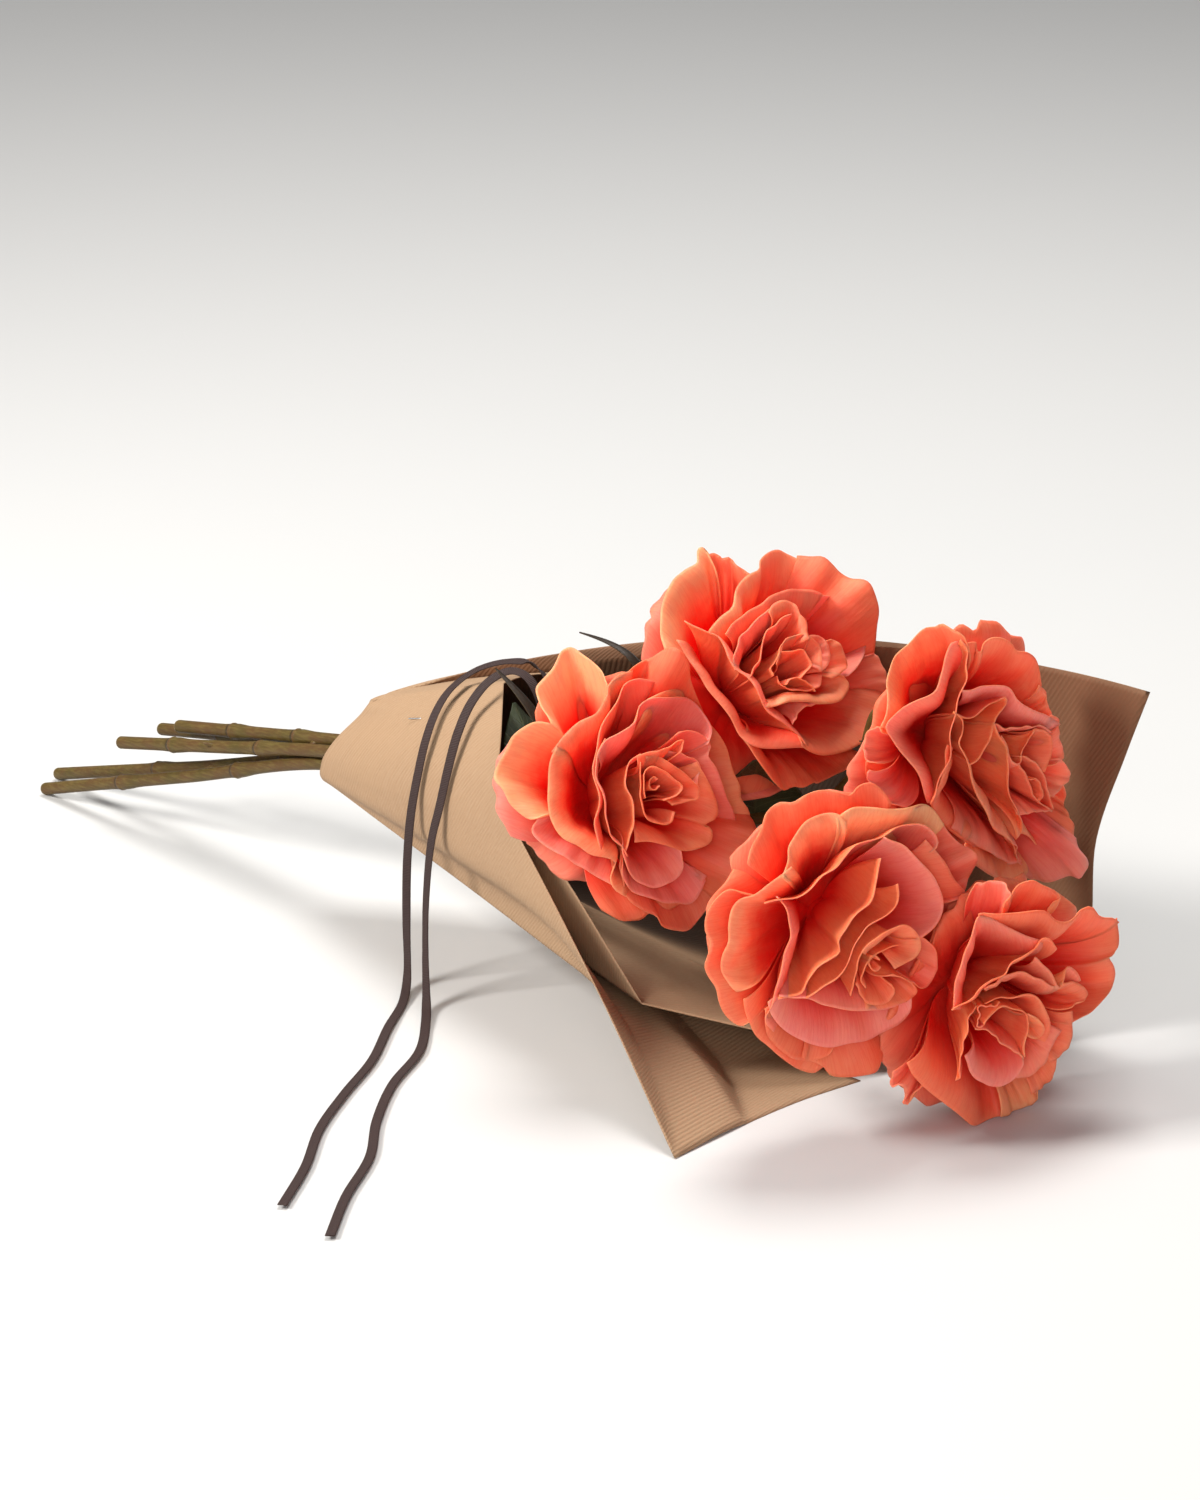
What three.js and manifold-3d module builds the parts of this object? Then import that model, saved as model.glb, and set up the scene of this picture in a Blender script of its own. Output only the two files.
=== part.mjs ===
// A wrapped bunch of five garden roses lying on its side, stems along +X, in millimetres, +Z up.
// Everything is laid out from the cut stem ends at x = 0, with the blooms at x = 417 to 660, and is
// moved at the end so that the bunch without its ribbon tails is centred over the origin. The
// paper's outer flap, the lowest petals and two stem ends lie on the surface z = 0.
import * as THREE from 'three';
import { mergeVertices } from 'three/addons/utils/BufferGeometryUtils.js';
import Module from 'manifold-3d';

const wasm = await Module();
wasm.setup();

// Driving dimensions
const PETAL_THICKNESS = 1.0;
const LEAF_THICKNESS = 0.9;
const PAPER_THICKNESS = 0.8;
const STEM_RADIUS = 3.3;
const STEM_STEPS = 12;
const COLLAR_RADIUS = 3.9;
const COLLAR_LENGTH = 5;
const RIBBON_THICKNESS = 3.0;
const TOUCH_GAP = 0.35;
const BLOOM_HEIGHT = 58;
const BLOOM_DISC = 28;
const CALYX_LENGTH = 13;
const CALYX_RADIUS = 8;
const MERGE_STEP = 1e-3;
const SLIVER = 0.12;

// Petal turns are counted from this level direction, which lies across the bunch.
const ACROSS_HEADING = 42;

const DEG = Math.PI / 180;
const vec = (x, y, z) => new THREE.Vector3(x, y, z);
const clamp01 = (t) => Math.min(1, Math.max(0, t));

const COLOURS = {
  petal: { color: 0xf0603f, roughness: 0.6, metalness: 0 },
  foliage: { color: 0x5d5a2c, roughness: 0.65, metalness: 0 },
  paper: { color: 0xb08a63, roughness: 0.85, metalness: 0 },
  ribbon: { color: 0x553c3a, roughness: 0.7, metalness: 0 },
  steel: { color: 0xb9bcc0, roughness: 0.3, metalness: 1 },
};

// Where each bloom sits and faces, and its petals as [turn, rim, rise, width]: rim is how far the
// petal stands out from the bloom's axis, and rise is its shoulder's height over the bloom's base.
const BLOOMS = [
  {
    centre: [458, -55, 131], heading: -20.6, pitch: 24.8, roll: 20,
    petals: [
      [112, 68, 22, 46], [178, 60, 18, 52], [128, 46, 38, 66], [225, 44, 34, 58],
      [70, 66, 32, 56], [22, 58, 38, 66], [85, 40, 50, 62], [-45, 52, 44, 58],
      [-85, 44, 46, 42], [-66, 66, 26, 56], [-24, 68, 24, 56], [200, 24, 53, 50],
    ],
  },
  {
    centre: [465, 35, 163], heading: -6.4, pitch: 34, roll: 75,
    petals: [
      [146, 60, 18, 56], [127, 64, 32, 50], [84, 64, 34, 64], [60, 70, 26, 50],
      [34, 72, 28, 58], [62, 48, 44, 64], [120, 30, 50, 54], [-62, 28, 50, 54], [215, 38, 48, 72],
      [-20, 60, 30, 66], [-55, 60, 18, 62], [-95, 42, 38, 52],
    ],
  },
  {
    centre: [585, 38, 154], heading: -2, pitch: -8, roll: 140,
    petals: [
      [140, 60, 24, 58], [122, 46, 42, 62], [75, 60, 28, 62], [18, 64, 24, 58], [62, 42, 45, 60],
      [-5, 36, 50, 46], [-45, 44, 46, 48], [-62, 66, 30, 58], [195, 40, 46, 68], [-105, 58, 28, 60],
      [185, 62, 12, 48], [-140, 28, 52, 50],
    ],
  },
  {
    centre: [590, -57, 98], heading: -22.4, pitch: -4, roll: 0,
    petals: [
      [104, 66, 20, 70], [42, 66, 30, 70], [98, 46, 44, 72], [168, 64, 32, 60],
      [200, 42, 42, 56], [32, 44, 46, 60], [0, 60, 38, 64], [-38, 64, 32, 56],
      [-98, 46, 45, 66], [-122, 62, 28, 58], [-78, 70, 28, 64], [140, 26, 51, 58],
    ],
  },
  {
    centre: [628, 4, 57], heading: -10, pitch: -10, roll: 200,
    petals: [
      [0, 68, 30, 68], [-32, 62, 26, 52], [68, 54, 32, 60], [38, 56, 14, 46],
      [105, 36, 47, 62], [-8, 42, 46, 44], [190, 40, 44, 48], [-112, 36, 50, 46], [-105, 62, 38, 72],
      [-52, 66, 28, 58], [150, 58, 24, 60], [-150, 58, 22, 58],
    ],
  },
];
const PETAL_ROWS = [0.03, 0.5, 0.86, 1];
const PETAL_COLUMNS = [-1, -0.55, 0, 0.55, 1];
const INNER_PETALS = 3;
const GOLDEN_ANGLE = 137.5;

// Each stem from its cut end to just behind its bloom, where collars sit, and what grows on it.
const NECK = vec(220, 0, 77);
const NECK_RING = 6.3;
const STEMS = [
  { end: [57, 3, 42], ringTurn: 162, way: [[275, -9, 86], [330, -11, 93], [400, -29, 105]], collars: [100, 168] },
  { end: [96, 8, 59], ringTurn: 90, way: [[275, 0, 92], [330, 0, 100], [400, 20, 122]], collars: [140, 190] },
  {
    end: [70, 20, 48], ringTurn: 18,
    way: [[330, 8, 91], [440, 25, 94], [486, 41, 100], [512, 46, 126]], collars: [120],
  },
  { end: [0, 0, 3], ringTurn: 234, way: [[330, -7, 82], [430, -8, 77], [500, -14, 79]], collars: [62, 150] },
  { end: [-12, 20, 3], ringTurn: 306, way: [[330, 5, 81], [430, 9, 66], [530, 12, 54]], collars: [74, 176] },
];

// Leaves and long bracts as [stem, x where it leaves the stem, tip, width, arch].
const LEAVES = [
  [0, 372, [352, -14, 138], 24, 4],
  [0, 398, [357, -32, 161], 7, 10],
  [1, 406, [363, 20, 167], 7, 16],
  [3, 456, [478, -46, 52], 28, 5],
  [3, 506, [516, 12, 112], 26, -5],
  [2, 440, [462, 72, 92], 30, 6],
  [4, 500, [528, 52, 38], 28, 6],
];

// The kraft sheet is one roll of lines [neck, edge, bulge, aim, bend]. Each line runs from the neck
// to the sheet's far edge and bulges outward by the third number. On the outer flap a line lies
// close to the roll, heads for its aim, and bends away to its edge between two shares of its length.
// The lines start at the free inner edge, go under the blooms, up behind them to the tall corner,
// back over the top and down the near side to the outer flap.
const PAPER_LINES = [
  { name: 'inner flap edge', lines: [
    [[224, -11, 80], [396, -52, 97], 0], [[222, -11, 74], [425, -60, 83], 1],
    [[221, -9, 70], [459, -66, 57], 2], [[220, -7, 67], [482, -69, 38], 4]] },
  { name: 'front edge', lines: [
    [[220, -7, 67], [482, -69, 38], 4], [[219.5, -2, 65.5], [530, -30, 24], 6],
    [[219.5, 3, 65], [562, 15, 5], 6], [[220, 8, 68], [585, 66, 0.4], 52],
    [[221, 11, 74], [600, 106, 36], 56], [[223, 12, 80], [598, 116, 95], 70],
    [[227, 11, 88], [610, 120, 138], 74], [[232, 8, 97], [621, 122, 171], 70]] },
  { name: 'top edge', lines: [
    [[232, 8, 97], [621, 122, 171], 70], [[236, 5, 104], [558, 122, 166], 62],
    [[239, 3, 107], [468, 120, 150], 40], [[241, 2, 109], [335, 95, 131], 12],
    [[243, 1, 110], [325, 62, 128], 8], [[244, 0, 110.5], [330, 18, 138], 3],
    [[244, -1, 110], [335, -3, 141], 2]] },
  { name: 'near edge', lines: [
    [[244, -1, 110], [335, -3, 141], 2], [[240, -4, 103], [364, -36, 133], 4],
    [[230, -11, 90], [379, -54, 117], 5], [[224, -14, 80], [391, -62, 106], 6],
    [[222, -14.5, 74], [405, -68, 99], 6], [[220, -13, 69], [447, -84, 74], 1],
    [[219, -10, 65], [496, -103, 42], 0, [496, -79, 54], [0.65, 1]],
    [[218.5, -8, 63.5], [550, -124, 0.4], 0, [550, -89, 27], [0.65, 1]]] },
  { name: 'outer flap edge', lines: [
    [[218.5, -8, 63.5], [550, -124, 0.4], 0, [550, -89, 27], [0.65, 1]],
    [[218, -5, 62.5], [549, -76, 0.4], 0, [549, -57, 18], [0.6, 1]],
    [[218, -2, 62], [551, -38, -8], 0, [551, -30, 12], [0.5, 0.857]],
    [[218, 2, 62], [557, -3, -8], 0, [557, 0, 2], [0.5, 0.857]]] },
];
const PAPER_AXIS = { from: vec(220, 0, 77), to: vec(600, 0, 80) };
const STEPS_PER_LINE = 1;
const PAPER_ROWS = 7;

// The ribbon is tied round the stems inside the mouth. Its tails cross the paper and lie down.
const TIE = { x: 374, y: -3, z: 93, radius: 30, width: 4.6, thickness: 1.2, knot: 4 };
const RIBBON_TAILS = {
  ribbon_tail_left: [
    [366, 2, 129], [356, 8, 141], [342, 11, 148], [327, 9, 147], [314, 1, 142], [309, -11, 135],
    [312, -25, 128], [316, -37, 117], [319, -46, 102], [320, -52, 84], [320, -55, 60],
    [321, -57, 30], [326, -62, 8], [338, -77, 2], [356, -106, 2], [377, -138, 2], [394, -173, 2],
    [413, -208, 2], [437, -241, 2], [458, -276, 2],
  ],
  ribbon_tail_right: [
    [366, -8, 129], [363, -8, 141], [355, -8, 150], [345, -9, 151], [339, -16, 147],
    [338, -28, 139], [340, -40, 127], [342, -49, 112], [342, -55, 95], [341, -60, 78],
    [341, -64, 50], [343, -67, 24], [351, -75, 6], [365, -90, 2], [386, -116, 2], [403, -151, 2],
    [426, -185, 2], [451, -215, 2], [472, -251, 2], [495, -284, 2],
  ],
};
const STAPLE = { at: [279, -13, 113], length: 9, leg: 0.7, headingDown: 20 };

// ---- closed meshes and joins ----

function manifoldOf(geometry) {
  const bare = new THREE.BufferGeometry();
  bare.setAttribute('position', geometry.getAttribute('position'));
  if (geometry.index) bare.setIndex(geometry.index);
  const merged = mergeVertices(bare, MERGE_STEP);
  return new wasm.Manifold(new wasm.Mesh({
    numProp: 3,
    vertProperties: new Float32Array(merged.getAttribute('position').array),
    triVerts: new Uint32Array(merged.index.array),
  }));
}

function geometryOf(solid) {
  const mesh = solid.getMesh();
  const geometry = new THREE.BufferGeometry();
  geometry.setAttribute('position', new THREE.BufferAttribute(mesh.vertProperties, 3));
  geometry.setIndex(new THREE.BufferAttribute(mesh.triVerts, 1));
  return geometry;
}

// Fuses solids, drops loose scraps, fills sealed hollows and removes slivers.
function fuse(solids) {
  const joined = solids.reduce((all, next) => all.add(next));
  const pieces = joined.simplify(SLIVER).decompose();
  pieces.sort((a, b) => b.volume() - a.volume());
  return pieces[0];
}

// A thin closed blade over a grid of points, with the same diagonals on both faces.
function blade(grid, thickness) {
  const rows = grid.length;
  const cols = grid[0].length;
  const positions = [];
  const index = [];
  const at = (side, i, j) => side * rows * cols + i * cols + j;
  for (const side of [1, -1]) {
    for (let i = 0; i < rows; i++) {
      for (let j = 0; j < cols; j++) {
        const along = vec(0, 0, 0).subVectors(
          grid[Math.min(i + 1, rows - 1)][j], grid[Math.max(i - 1, 0)][j]);
        const across = vec(0, 0, 0).subVectors(
          grid[i][Math.min(j + 1, cols - 1)], grid[i][Math.max(j - 1, 0)]);
        const normal = across.cross(along).normalize();
        const point = grid[i][j].clone().addScaledVector(normal, side * thickness / 2);
        positions.push(point.x, point.y, point.z);
      }
    }
  }
  for (let i = 0; i + 1 < rows; i++) {
    for (let j = 0; j + 1 < cols; j++) {
      const corners = [[i, j], [i, j + 1], [i + 1, j + 1], [i, j], [i + 1, j + 1], [i + 1, j]];
      index.push(...corners.map(([a, b]) => at(0, a, b)));
      index.push(...corners.reverse().map(([a, b]) => at(1, a, b)));
    }
  }
  const rim = [];
  for (let j = 0; j < cols - 1; j++) rim.push([0, j]);
  for (let i = 0; i < rows - 1; i++) rim.push([i, cols - 1]);
  for (let j = cols - 1; j > 0; j--) rim.push([rows - 1, j]);
  for (let i = rows - 1; i > 0; i--) rim.push([i, 0]);
  rim.forEach(([a, b], k) => {
    const [c, d] = rim[(k + 1) % rim.length];
    index.push(at(0, a, b), at(1, a, b), at(1, c, d), at(0, a, b), at(1, c, d), at(0, c, d));
  });
  const geometry = new THREE.BufferGeometry();
  geometry.setAttribute('position', new THREE.Float32BufferAttribute(positions, 3));
  geometry.setIndex(index);
  return manifoldOf(geometry);
}

function tube(points, radius, sides, steps) {
  const outline = new THREE.Shape(new THREE.Path().absarc(0, 0, radius, 0, Math.PI * 2).getPoints(sides / 2)
    .slice(0, -1));
  const path = new THREE.CatmullRomCurve3(points, false, 'centripetal');
  return manifoldOf(new THREE.ExtrudeGeometry(outline, { steps, bevelEnabled: false, extrudePath: path }));
}

// ---- blooms ----

function bloomFrame(bloom) {
  const heading = bloom.heading * DEG;
  const pitch = bloom.pitch * DEG;
  const axis = vec(Math.cos(pitch) * Math.cos(heading), Math.cos(pitch) * Math.sin(heading), Math.sin(pitch));
  const level = vec(Math.cos(ACROSS_HEADING * DEG), Math.sin(ACROSS_HEADING * DEG), 0);
  const right = level.addScaledVector(axis, -level.dot(axis)).normalize();
  const up = vec(0, 0, 0).crossVectors(axis, right);
  const centre = vec(...bloom.centre);
  const base = centre.clone().addScaledVector(axis, -BLOOM_DISC);
  return { axis, right, up, base, centre };
}

function toWorld(frame, x, y, z) {
  return frame.base.clone().addScaledVector(frame.right, x).addScaledVector(frame.up, y)
    .addScaledVector(frame.axis, z);
}

// The petal's middle line: a Bezier curve from the receptacle to the shoulder, then a lip that
// curls away. Returns [radius, height, lean from the axis] at a share of its length.
function midLine(petal, share) {
  const { reach, rise } = petal;
  const root = { r: 3, z: 4 };
  const startLean = (85 - (rise - 14) * 0.9) * DEG;
  const endLean = (95 - (rise - 14) * 2.3) * DEG;
  const span = Math.hypot(reach - root.r, rise - root.z);
  const pull = 0.38 * span;
  const bodyShare = 1 - petal.lip / (1.08 * span + petal.lip);
  if (share <= bodyShare) {
    const t = share / bodyShare;
    const r1 = root.r + pull * Math.sin(startLean);
    const z1 = root.z + pull * Math.cos(startLean);
    const r2 = reach - pull * Math.sin(endLean);
    const z2 = rise - pull * Math.cos(endLean);
    const a = (1 - t) ** 3;
    const b = 3 * t * (1 - t) ** 2;
    const c = 3 * t * t * (1 - t);
    const d = t ** 3;
    const dr = (1 - t) ** 2 * (r1 - root.r) + 2 * t * (1 - t) * (r2 - r1) + t * t * (reach - r2);
    const dz = (1 - t) ** 2 * (z1 - root.z) + 2 * t * (1 - t) * (z2 - z1) + t * t * (rise - z2);
    return [a * root.r + b * r1 + c * r2 + d * reach, a * root.z + b * z1 + c * z2 + d * rise, Math.atan2(dr, dz)];
  }
  const t = (share - bodyShare) / (1 - bodyShare);
  const curl = petal.curl * DEG;
  const lean = endLean + curl * t;
  const radius = petal.lip / curl;
  return [
    reach + radius * (Math.cos(endLean) - Math.cos(lean)),
    rise + radius * (Math.sin(lean) - Math.sin(endLean)),
    lean,
  ];
}

// A petal hugs the axis round its middle line, its corners are rounded and its sides roll back.
function petalGrid(frame, petal) {
  const grid = [];
  for (const v of PETAL_ROWS) {
    const line = [];
    for (const u of PETAL_COLUMNS) {
      const share = v * (1 - 0.24 * Math.abs(u) ** 2.6);
      const [r, z, lean] = midLine(petal, share);
      const half = petal.width / 2 * (0.14 + 0.86 * Math.sin(0.62 * Math.PI * v ** 0.95));
      const s = u * half;
      const bend = petal.hug * (0.25 + 0.75 * Math.max(0, Math.cos(lean))) / Math.max(r, 7);
      const side = Math.sin(bend * s) / bend;
      const rollBack = 0.1 * petal.width * clamp01((Math.abs(u) - 0.5) / 0.5) ** 2 * v;
      const inward = (1 - Math.cos(bend * s)) / bend - rollBack;
      const turn = petal.turn * DEG;
      const radial = r - Math.cos(lean) * inward;
      const height = z + Math.sin(lean) * inward;
      line.push(toWorld(frame,
        radial * Math.cos(turn) - side * Math.sin(turn),
        radial * Math.sin(turn) + side * Math.cos(turn),
        height));
    }
    grid.push(line);
  }
  return grid;
}

function petalsOf(bloom) {
  const outer = bloom.petals.map(([turn, rim, rise, width]) => {
    const cupped = rise > 45;
    const lip = cupped ? 6 : 10;
    return { turn, reach: rim - 0.7 * lip, rise, width, lip, hug: cupped ? 0.95 : 0.6, curl: cupped ? 50 : 60 };
  });
  const inner = [];
  for (let k = 0; k < INNER_PETALS; k++) {
    inner.push({
      turn: bloom.roll + GOLDEN_ANGLE * k, reach: 10 + 4.5 * k, rise: 58 - 1.5 * k, width: 30 + 6 * k,
      hug: 1.1, lip: 3, curl: 40,
    });
  }
  return { outer, inner };
}

// Soft wall: points deeper than the margin stay, nearer ones are eased up to the gap and no further.
function easeInto(point, wall) {
  const depth = wall.normal.dot(point) - wall.offset;
  const { gap, margin } = wall;
  if (depth >= margin) return;
  const eased = gap + (margin - gap) * Math.exp((depth - margin) / (margin - gap));
  point.addScaledVector(wall.normal, eased - depth);
}

function wallAt(through, normal, gap, margin) {
  const unit = normal.clone().normalize();
  return { normal: unit, offset: unit.dot(through), gap, margin };
}

const FRAMES = BLOOMS.map(bloomFrame);
const PETAL_GAP = TOUCH_GAP / 2 + PETAL_THICKNESS / 2 + 0.15;

// Walls that keep one bloom's petals clear of its neighbours, of the stems and of the paper.
function wallsOf(which) {
  const here = FRAMES[which].centre;
  const walls = [];
  FRAMES.forEach((other, k) => {
    if (k === which) return;
    const middle = here.clone().add(other.centre).multiplyScalar(0.5);
    walls.push(wallAt(middle, here.clone().sub(other.centre), PETAL_GAP, 9));
  });
  const extra = [
    [[vec(497, -16, 86), vec(-39, -41, 43)]],
    [[vec(470, 103, 150), vec(0.05, -1, 0)], [vec(490, 40, 116), vec(-0.35, -0.1, 1)]],
    [[vec(585, 106, 150), vec(0, -1, 0)]],
    [[vec(590, -57, 8), vec(0, 0, 1)]],
    [[vec(600, 70, 60), vec(0, -1, 0)]],
  ];
  extra[which].forEach(([through, normal]) => walls.push(wallAt(through, normal, PETAL_GAP, 9)));
  walls.push(wallAt(vec(0, 0, 0), vec(0, 0, 1), 0.25, 7));
  return walls;
}

function bloomSolid(which) {
  const frame = FRAMES[which];
  const walls = wallsOf(which);
  const { outer, inner } = petalsOf(BLOOMS[which]);
  const profile = [[0, 0], [10, 4], [10, 32], [4, 53], [0, BLOOM_HEIGHT]];
  const lathe = new THREE.LatheGeometry(profile.map(([r, z]) => new THREE.Vector2(r, z)), 6);
  lathe.rotateX(Math.PI / 2);
  lathe.applyMatrix4(new THREE.Matrix4().makeBasis(frame.right, frame.up, frame.axis).setPosition(frame.base));
  const solids = [manifoldOf(lathe)];
  [...outer, ...inner].forEach((petal) => {
    const grid = petalGrid(frame, petal);
    grid.flat().forEach((point) => walls.forEach((wall) => easeInto(point, wall)));
    solids.push(blade(grid, PETAL_THICKNESS));
  });
  return fuse(solids).trimByPlane([0, 0, 1], 0);
}

// ---- stems, calyxes and leaves ----

function leafBlade(root, tip, width, arch, rows = 3) {
  const cols = 2;
  const along = tip.clone().sub(root);
  const length = along.length();
  along.normalize();
  const across = vec(0, 0, 1).cross(along).normalize();
  const over = along.clone().cross(across);
  const grid = [];
  for (let i = 0; i <= rows; i++) {
    const t = i / rows;
    const half = width / 2 * (0.1 + 0.9 * Math.sin(Math.PI * t ** 0.8) * (1 - 0.15 * t));
    const line = [];
    for (let j = 0; j <= cols; j++) {
      const u = 2 * j / cols - 1;
      line.push(root.clone().addScaledVector(along, t * length).addScaledVector(across, u * half)
        .addScaledVector(over, arch * Math.sin(Math.PI * t) - 0.12 * width * u * u));
    }
    grid.push(line);
  }
  return blade(grid, LEAF_THICKNESS);
}

function calyxSolids(frame) {
  const profile = [[0, -CALYX_LENGTH], [3.6, -CALYX_LENGTH], [4.4, -9], [CALYX_RADIUS, -4], [5.5, -TOUCH_GAP],
    [0, -TOUCH_GAP]];
  const lathe = new THREE.LatheGeometry(profile.map(([r, z]) => new THREE.Vector2(r, z)), 7);
  lathe.rotateX(Math.PI / 2);
  lathe.applyMatrix4(new THREE.Matrix4().makeBasis(frame.right, frame.up, frame.axis).setPosition(frame.base));
  const solids = [manifoldOf(lathe)];
  for (let k = 0; k < 5; k++) {
    const turn = (36 + 72 * k) * DEG;
    const root = toWorld(frame, 4 * Math.cos(turn), 4 * Math.sin(turn), -5);
    const tip = toWorld(frame, 26 * Math.cos(turn), 26 * Math.sin(turn), -17);
    solids.push(leafBlade(root, tip, 9, -2, 2));
  }
  return solids;
}

function stemSolid(which) {
  const stem = STEMS[which];
  const frame = FRAMES[which];
  const ring = stem.ringTurn * DEG;
  const neck = NECK.clone().add(vec(0, NECK_RING * Math.cos(ring), NECK_RING * Math.sin(ring)));
  const end = vec(...stem.end);
  const points = [end, end.clone().lerp(neck, 0.5), neck, ...stem.way.map((p) => vec(...p)),
    toWorld(frame, 0, 0, -CALYX_LENGTH - 14), toWorld(frame, 0, 0, -CALYX_LENGTH + 2)];
  const path = new THREE.CatmullRomCurve3(points, false, 'centripetal');
  const solids = [tube(points, STEM_RADIUS, 8, STEM_STEPS), ...calyxSolids(frame)];
  const towards = neck.clone().sub(end).normalize();
  stem.collars.forEach((x) => {
    const start = end.clone().addScaledVector(towards, (x - end.x) / towards.x);
    const stop = start.clone().addScaledVector(towards, COLLAR_LENGTH);
    solids.push(tube([start, stop], COLLAR_RADIUS, 8, 1));
  });
  LEAVES.filter(([owner]) => owner === which).forEach(([, x, tip, width, arch]) => {
    const line = path.getSpacedPoints(STEM_STEPS);
    const next = line.findIndex((point) => point.x >= x);
    const [before, after] = [line[next - 1], line[next]];
    const root = before.clone().lerp(after, (x - before.x) / (after.x - before.x));
    solids.push(leafBlade(root, vec(...tip), width, arch));
  });
  return fuse(solids).trimByPlane([0, 0, 1], 0);
}

// ---- wrap, staple and ribbon ----

function paperColumns() {
  const columns = [];
  PAPER_LINES.forEach(({ lines }, part) => {
    const necks = new THREE.CatmullRomCurve3(lines.map(([neck]) => vec(...neck)), false, 'centripetal');
    const edges = new THREE.CatmullRomCurve3(lines.map(([, edge]) => vec(...edge)), false, 'centripetal');
    const aims = new THREE.CatmullRomCurve3(
      lines.map(([, edge, , aim = edge]) => vec(...aim)), false, 'centripetal');
    const bends = lines.map(([, , , , bend = [0.65, 1]]) => bend);
    const steps = (lines.length - 1) * STEPS_PER_LINE;
    for (let k = part === 0 ? 0 : 1; k <= steps; k++) {
      const t = k / steps;
      const place = t * (lines.length - 1);
      const low = Math.min(Math.floor(place), lines.length - 2);
      const between = (a, b) => THREE.MathUtils.lerp(a, b, place - low);
      const bulge = between(lines[low][2], lines[low + 1][2]);
      const bend = [0, 1].map((end) => between(bends[low][end], bends[low + 1][end]));
      columns.push({ neck: necks.getPoint(t), edge: edges.getPoint(t), aim: aims.getPoint(t), bulge, bend });
    }
  });
  return columns;
}

function paperSolid() {
  const { from, to } = PAPER_AXIS;
  const axis = to.clone().sub(from).normalize();
  const columns = paperColumns();
  const grid = [];
  for (let i = 0; i <= PAPER_ROWS; i++) {
    const q = i / PAPER_ROWS;
    grid.push(columns.map(({ neck, edge, aim, bulge, bend }) => {
      const bent = clamp01((q - bend[0]) / (bend[1] - bend[0])) ** 2;
      const point = neck.clone().lerp(aim, q).addScaledVector(edge.clone().sub(aim), bent);
      const offset = point.clone().sub(from);
      const outward = offset.addScaledVector(axis, -offset.dot(axis)).setX(0).normalize();
      point.addScaledVector(outward, 2 * bulge * q * (1 - q));
      point.z = Math.max(point.z, PAPER_THICKNESS / 2);
      return point;
    }));
  }
  return blade(grid, PAPER_THICKNESS);
}

function tieSolid() {
  const { x, y, z, radius, width, thickness, knot } = TIE;
  const half = width / 2;
  const profile = [[radius, -half], [radius + thickness, -half], [radius + thickness, half], [radius, half],
    [radius, -half]];
  const band = new THREE.LatheGeometry(profile.map(([r, h]) => new THREE.Vector2(r, h)), 20);
  band.rotateZ(Math.PI / 2);
  band.translate(x, y, z);
  const lump = new THREE.SphereGeometry(knot, 6, 5);
  lump.translate(x - 1, y, z + radius + knot * 0.5);
  return fuse([manifoldOf(band), manifoldOf(lump)]);
}

function tailSolid(points) {
  return tube(points.map((p) => vec(...p)), RIBBON_THICKNESS / 2, 8, 40);
}

function stapleSolid() {
  const bar = new THREE.BoxGeometry(STAPLE.length, STAPLE.leg, STAPLE.leg);
  bar.rotateY(-STAPLE.headingDown * DEG);
  bar.translate(...STAPLE.at);
  return manifoldOf(bar);
}

// ---- the bunch ----

const bunch = new THREE.Group();

function addPiece(name, solid, colour) {
  const mesh = new THREE.Mesh(geometryOf(solid), new THREE.MeshStandardMaterial(colour));
  mesh.name = name;
  bunch.add(mesh);
}

BLOOMS.forEach((_, which) => {
  addPiece(`rose_${which + 1}_bloom`, bloomSolid(which), COLOURS.petal);
  addPiece(`rose_${which + 1}_stem`, stemSolid(which), COLOURS.foliage);
});
addPiece('kraft_paper', paperSolid(), COLOURS.paper);
addPiece('staple', stapleSolid(), COLOURS.steel);
addPiece('ribbon_tie', tieSolid(), COLOURS.ribbon);
Object.entries(RIBBON_TAILS).forEach(([name, points]) => addPiece(name, tailSolid(points), COLOURS.ribbon));

// The origin is below the middle of the bunch, on the surface that it lies on.
const extent = new THREE.Box3();
bunch.children.filter(({ name }) => !(name in RIBBON_TAILS)).forEach((mesh) => extent.expandByObject(mesh));
const middle = extent.getCenter(vec(0, 0, 0));
bunch.children.forEach((mesh) => mesh.position.set(-middle.x, -middle.y, -extent.min.z));

export default bunch;
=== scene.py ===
"""Dresses a wrapped bunch of five garden roses: petals, stems, leaves, kraft paper and ribbon."""

import math

import bpy
import numpy as np
from bpy.props import FloatProperty, FloatVectorProperty, IntProperty, PointerProperty
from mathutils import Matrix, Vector


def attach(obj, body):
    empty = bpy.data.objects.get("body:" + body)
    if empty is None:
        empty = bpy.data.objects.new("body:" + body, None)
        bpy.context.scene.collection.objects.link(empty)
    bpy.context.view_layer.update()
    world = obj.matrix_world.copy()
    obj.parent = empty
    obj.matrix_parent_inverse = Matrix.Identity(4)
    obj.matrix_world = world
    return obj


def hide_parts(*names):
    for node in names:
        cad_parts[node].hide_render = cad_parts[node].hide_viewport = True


bl_info = {
    "name": "Wrapped Rose Bunch",
    "version": (1, 0, 0),
    "blender": (4, 5, 0),
    "location": "View3D > Sidebar > Roses",
    "description": "Builds the fine surfaces of a lying bunch of roses in kraft paper",
    "category": "Object",
}

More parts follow.
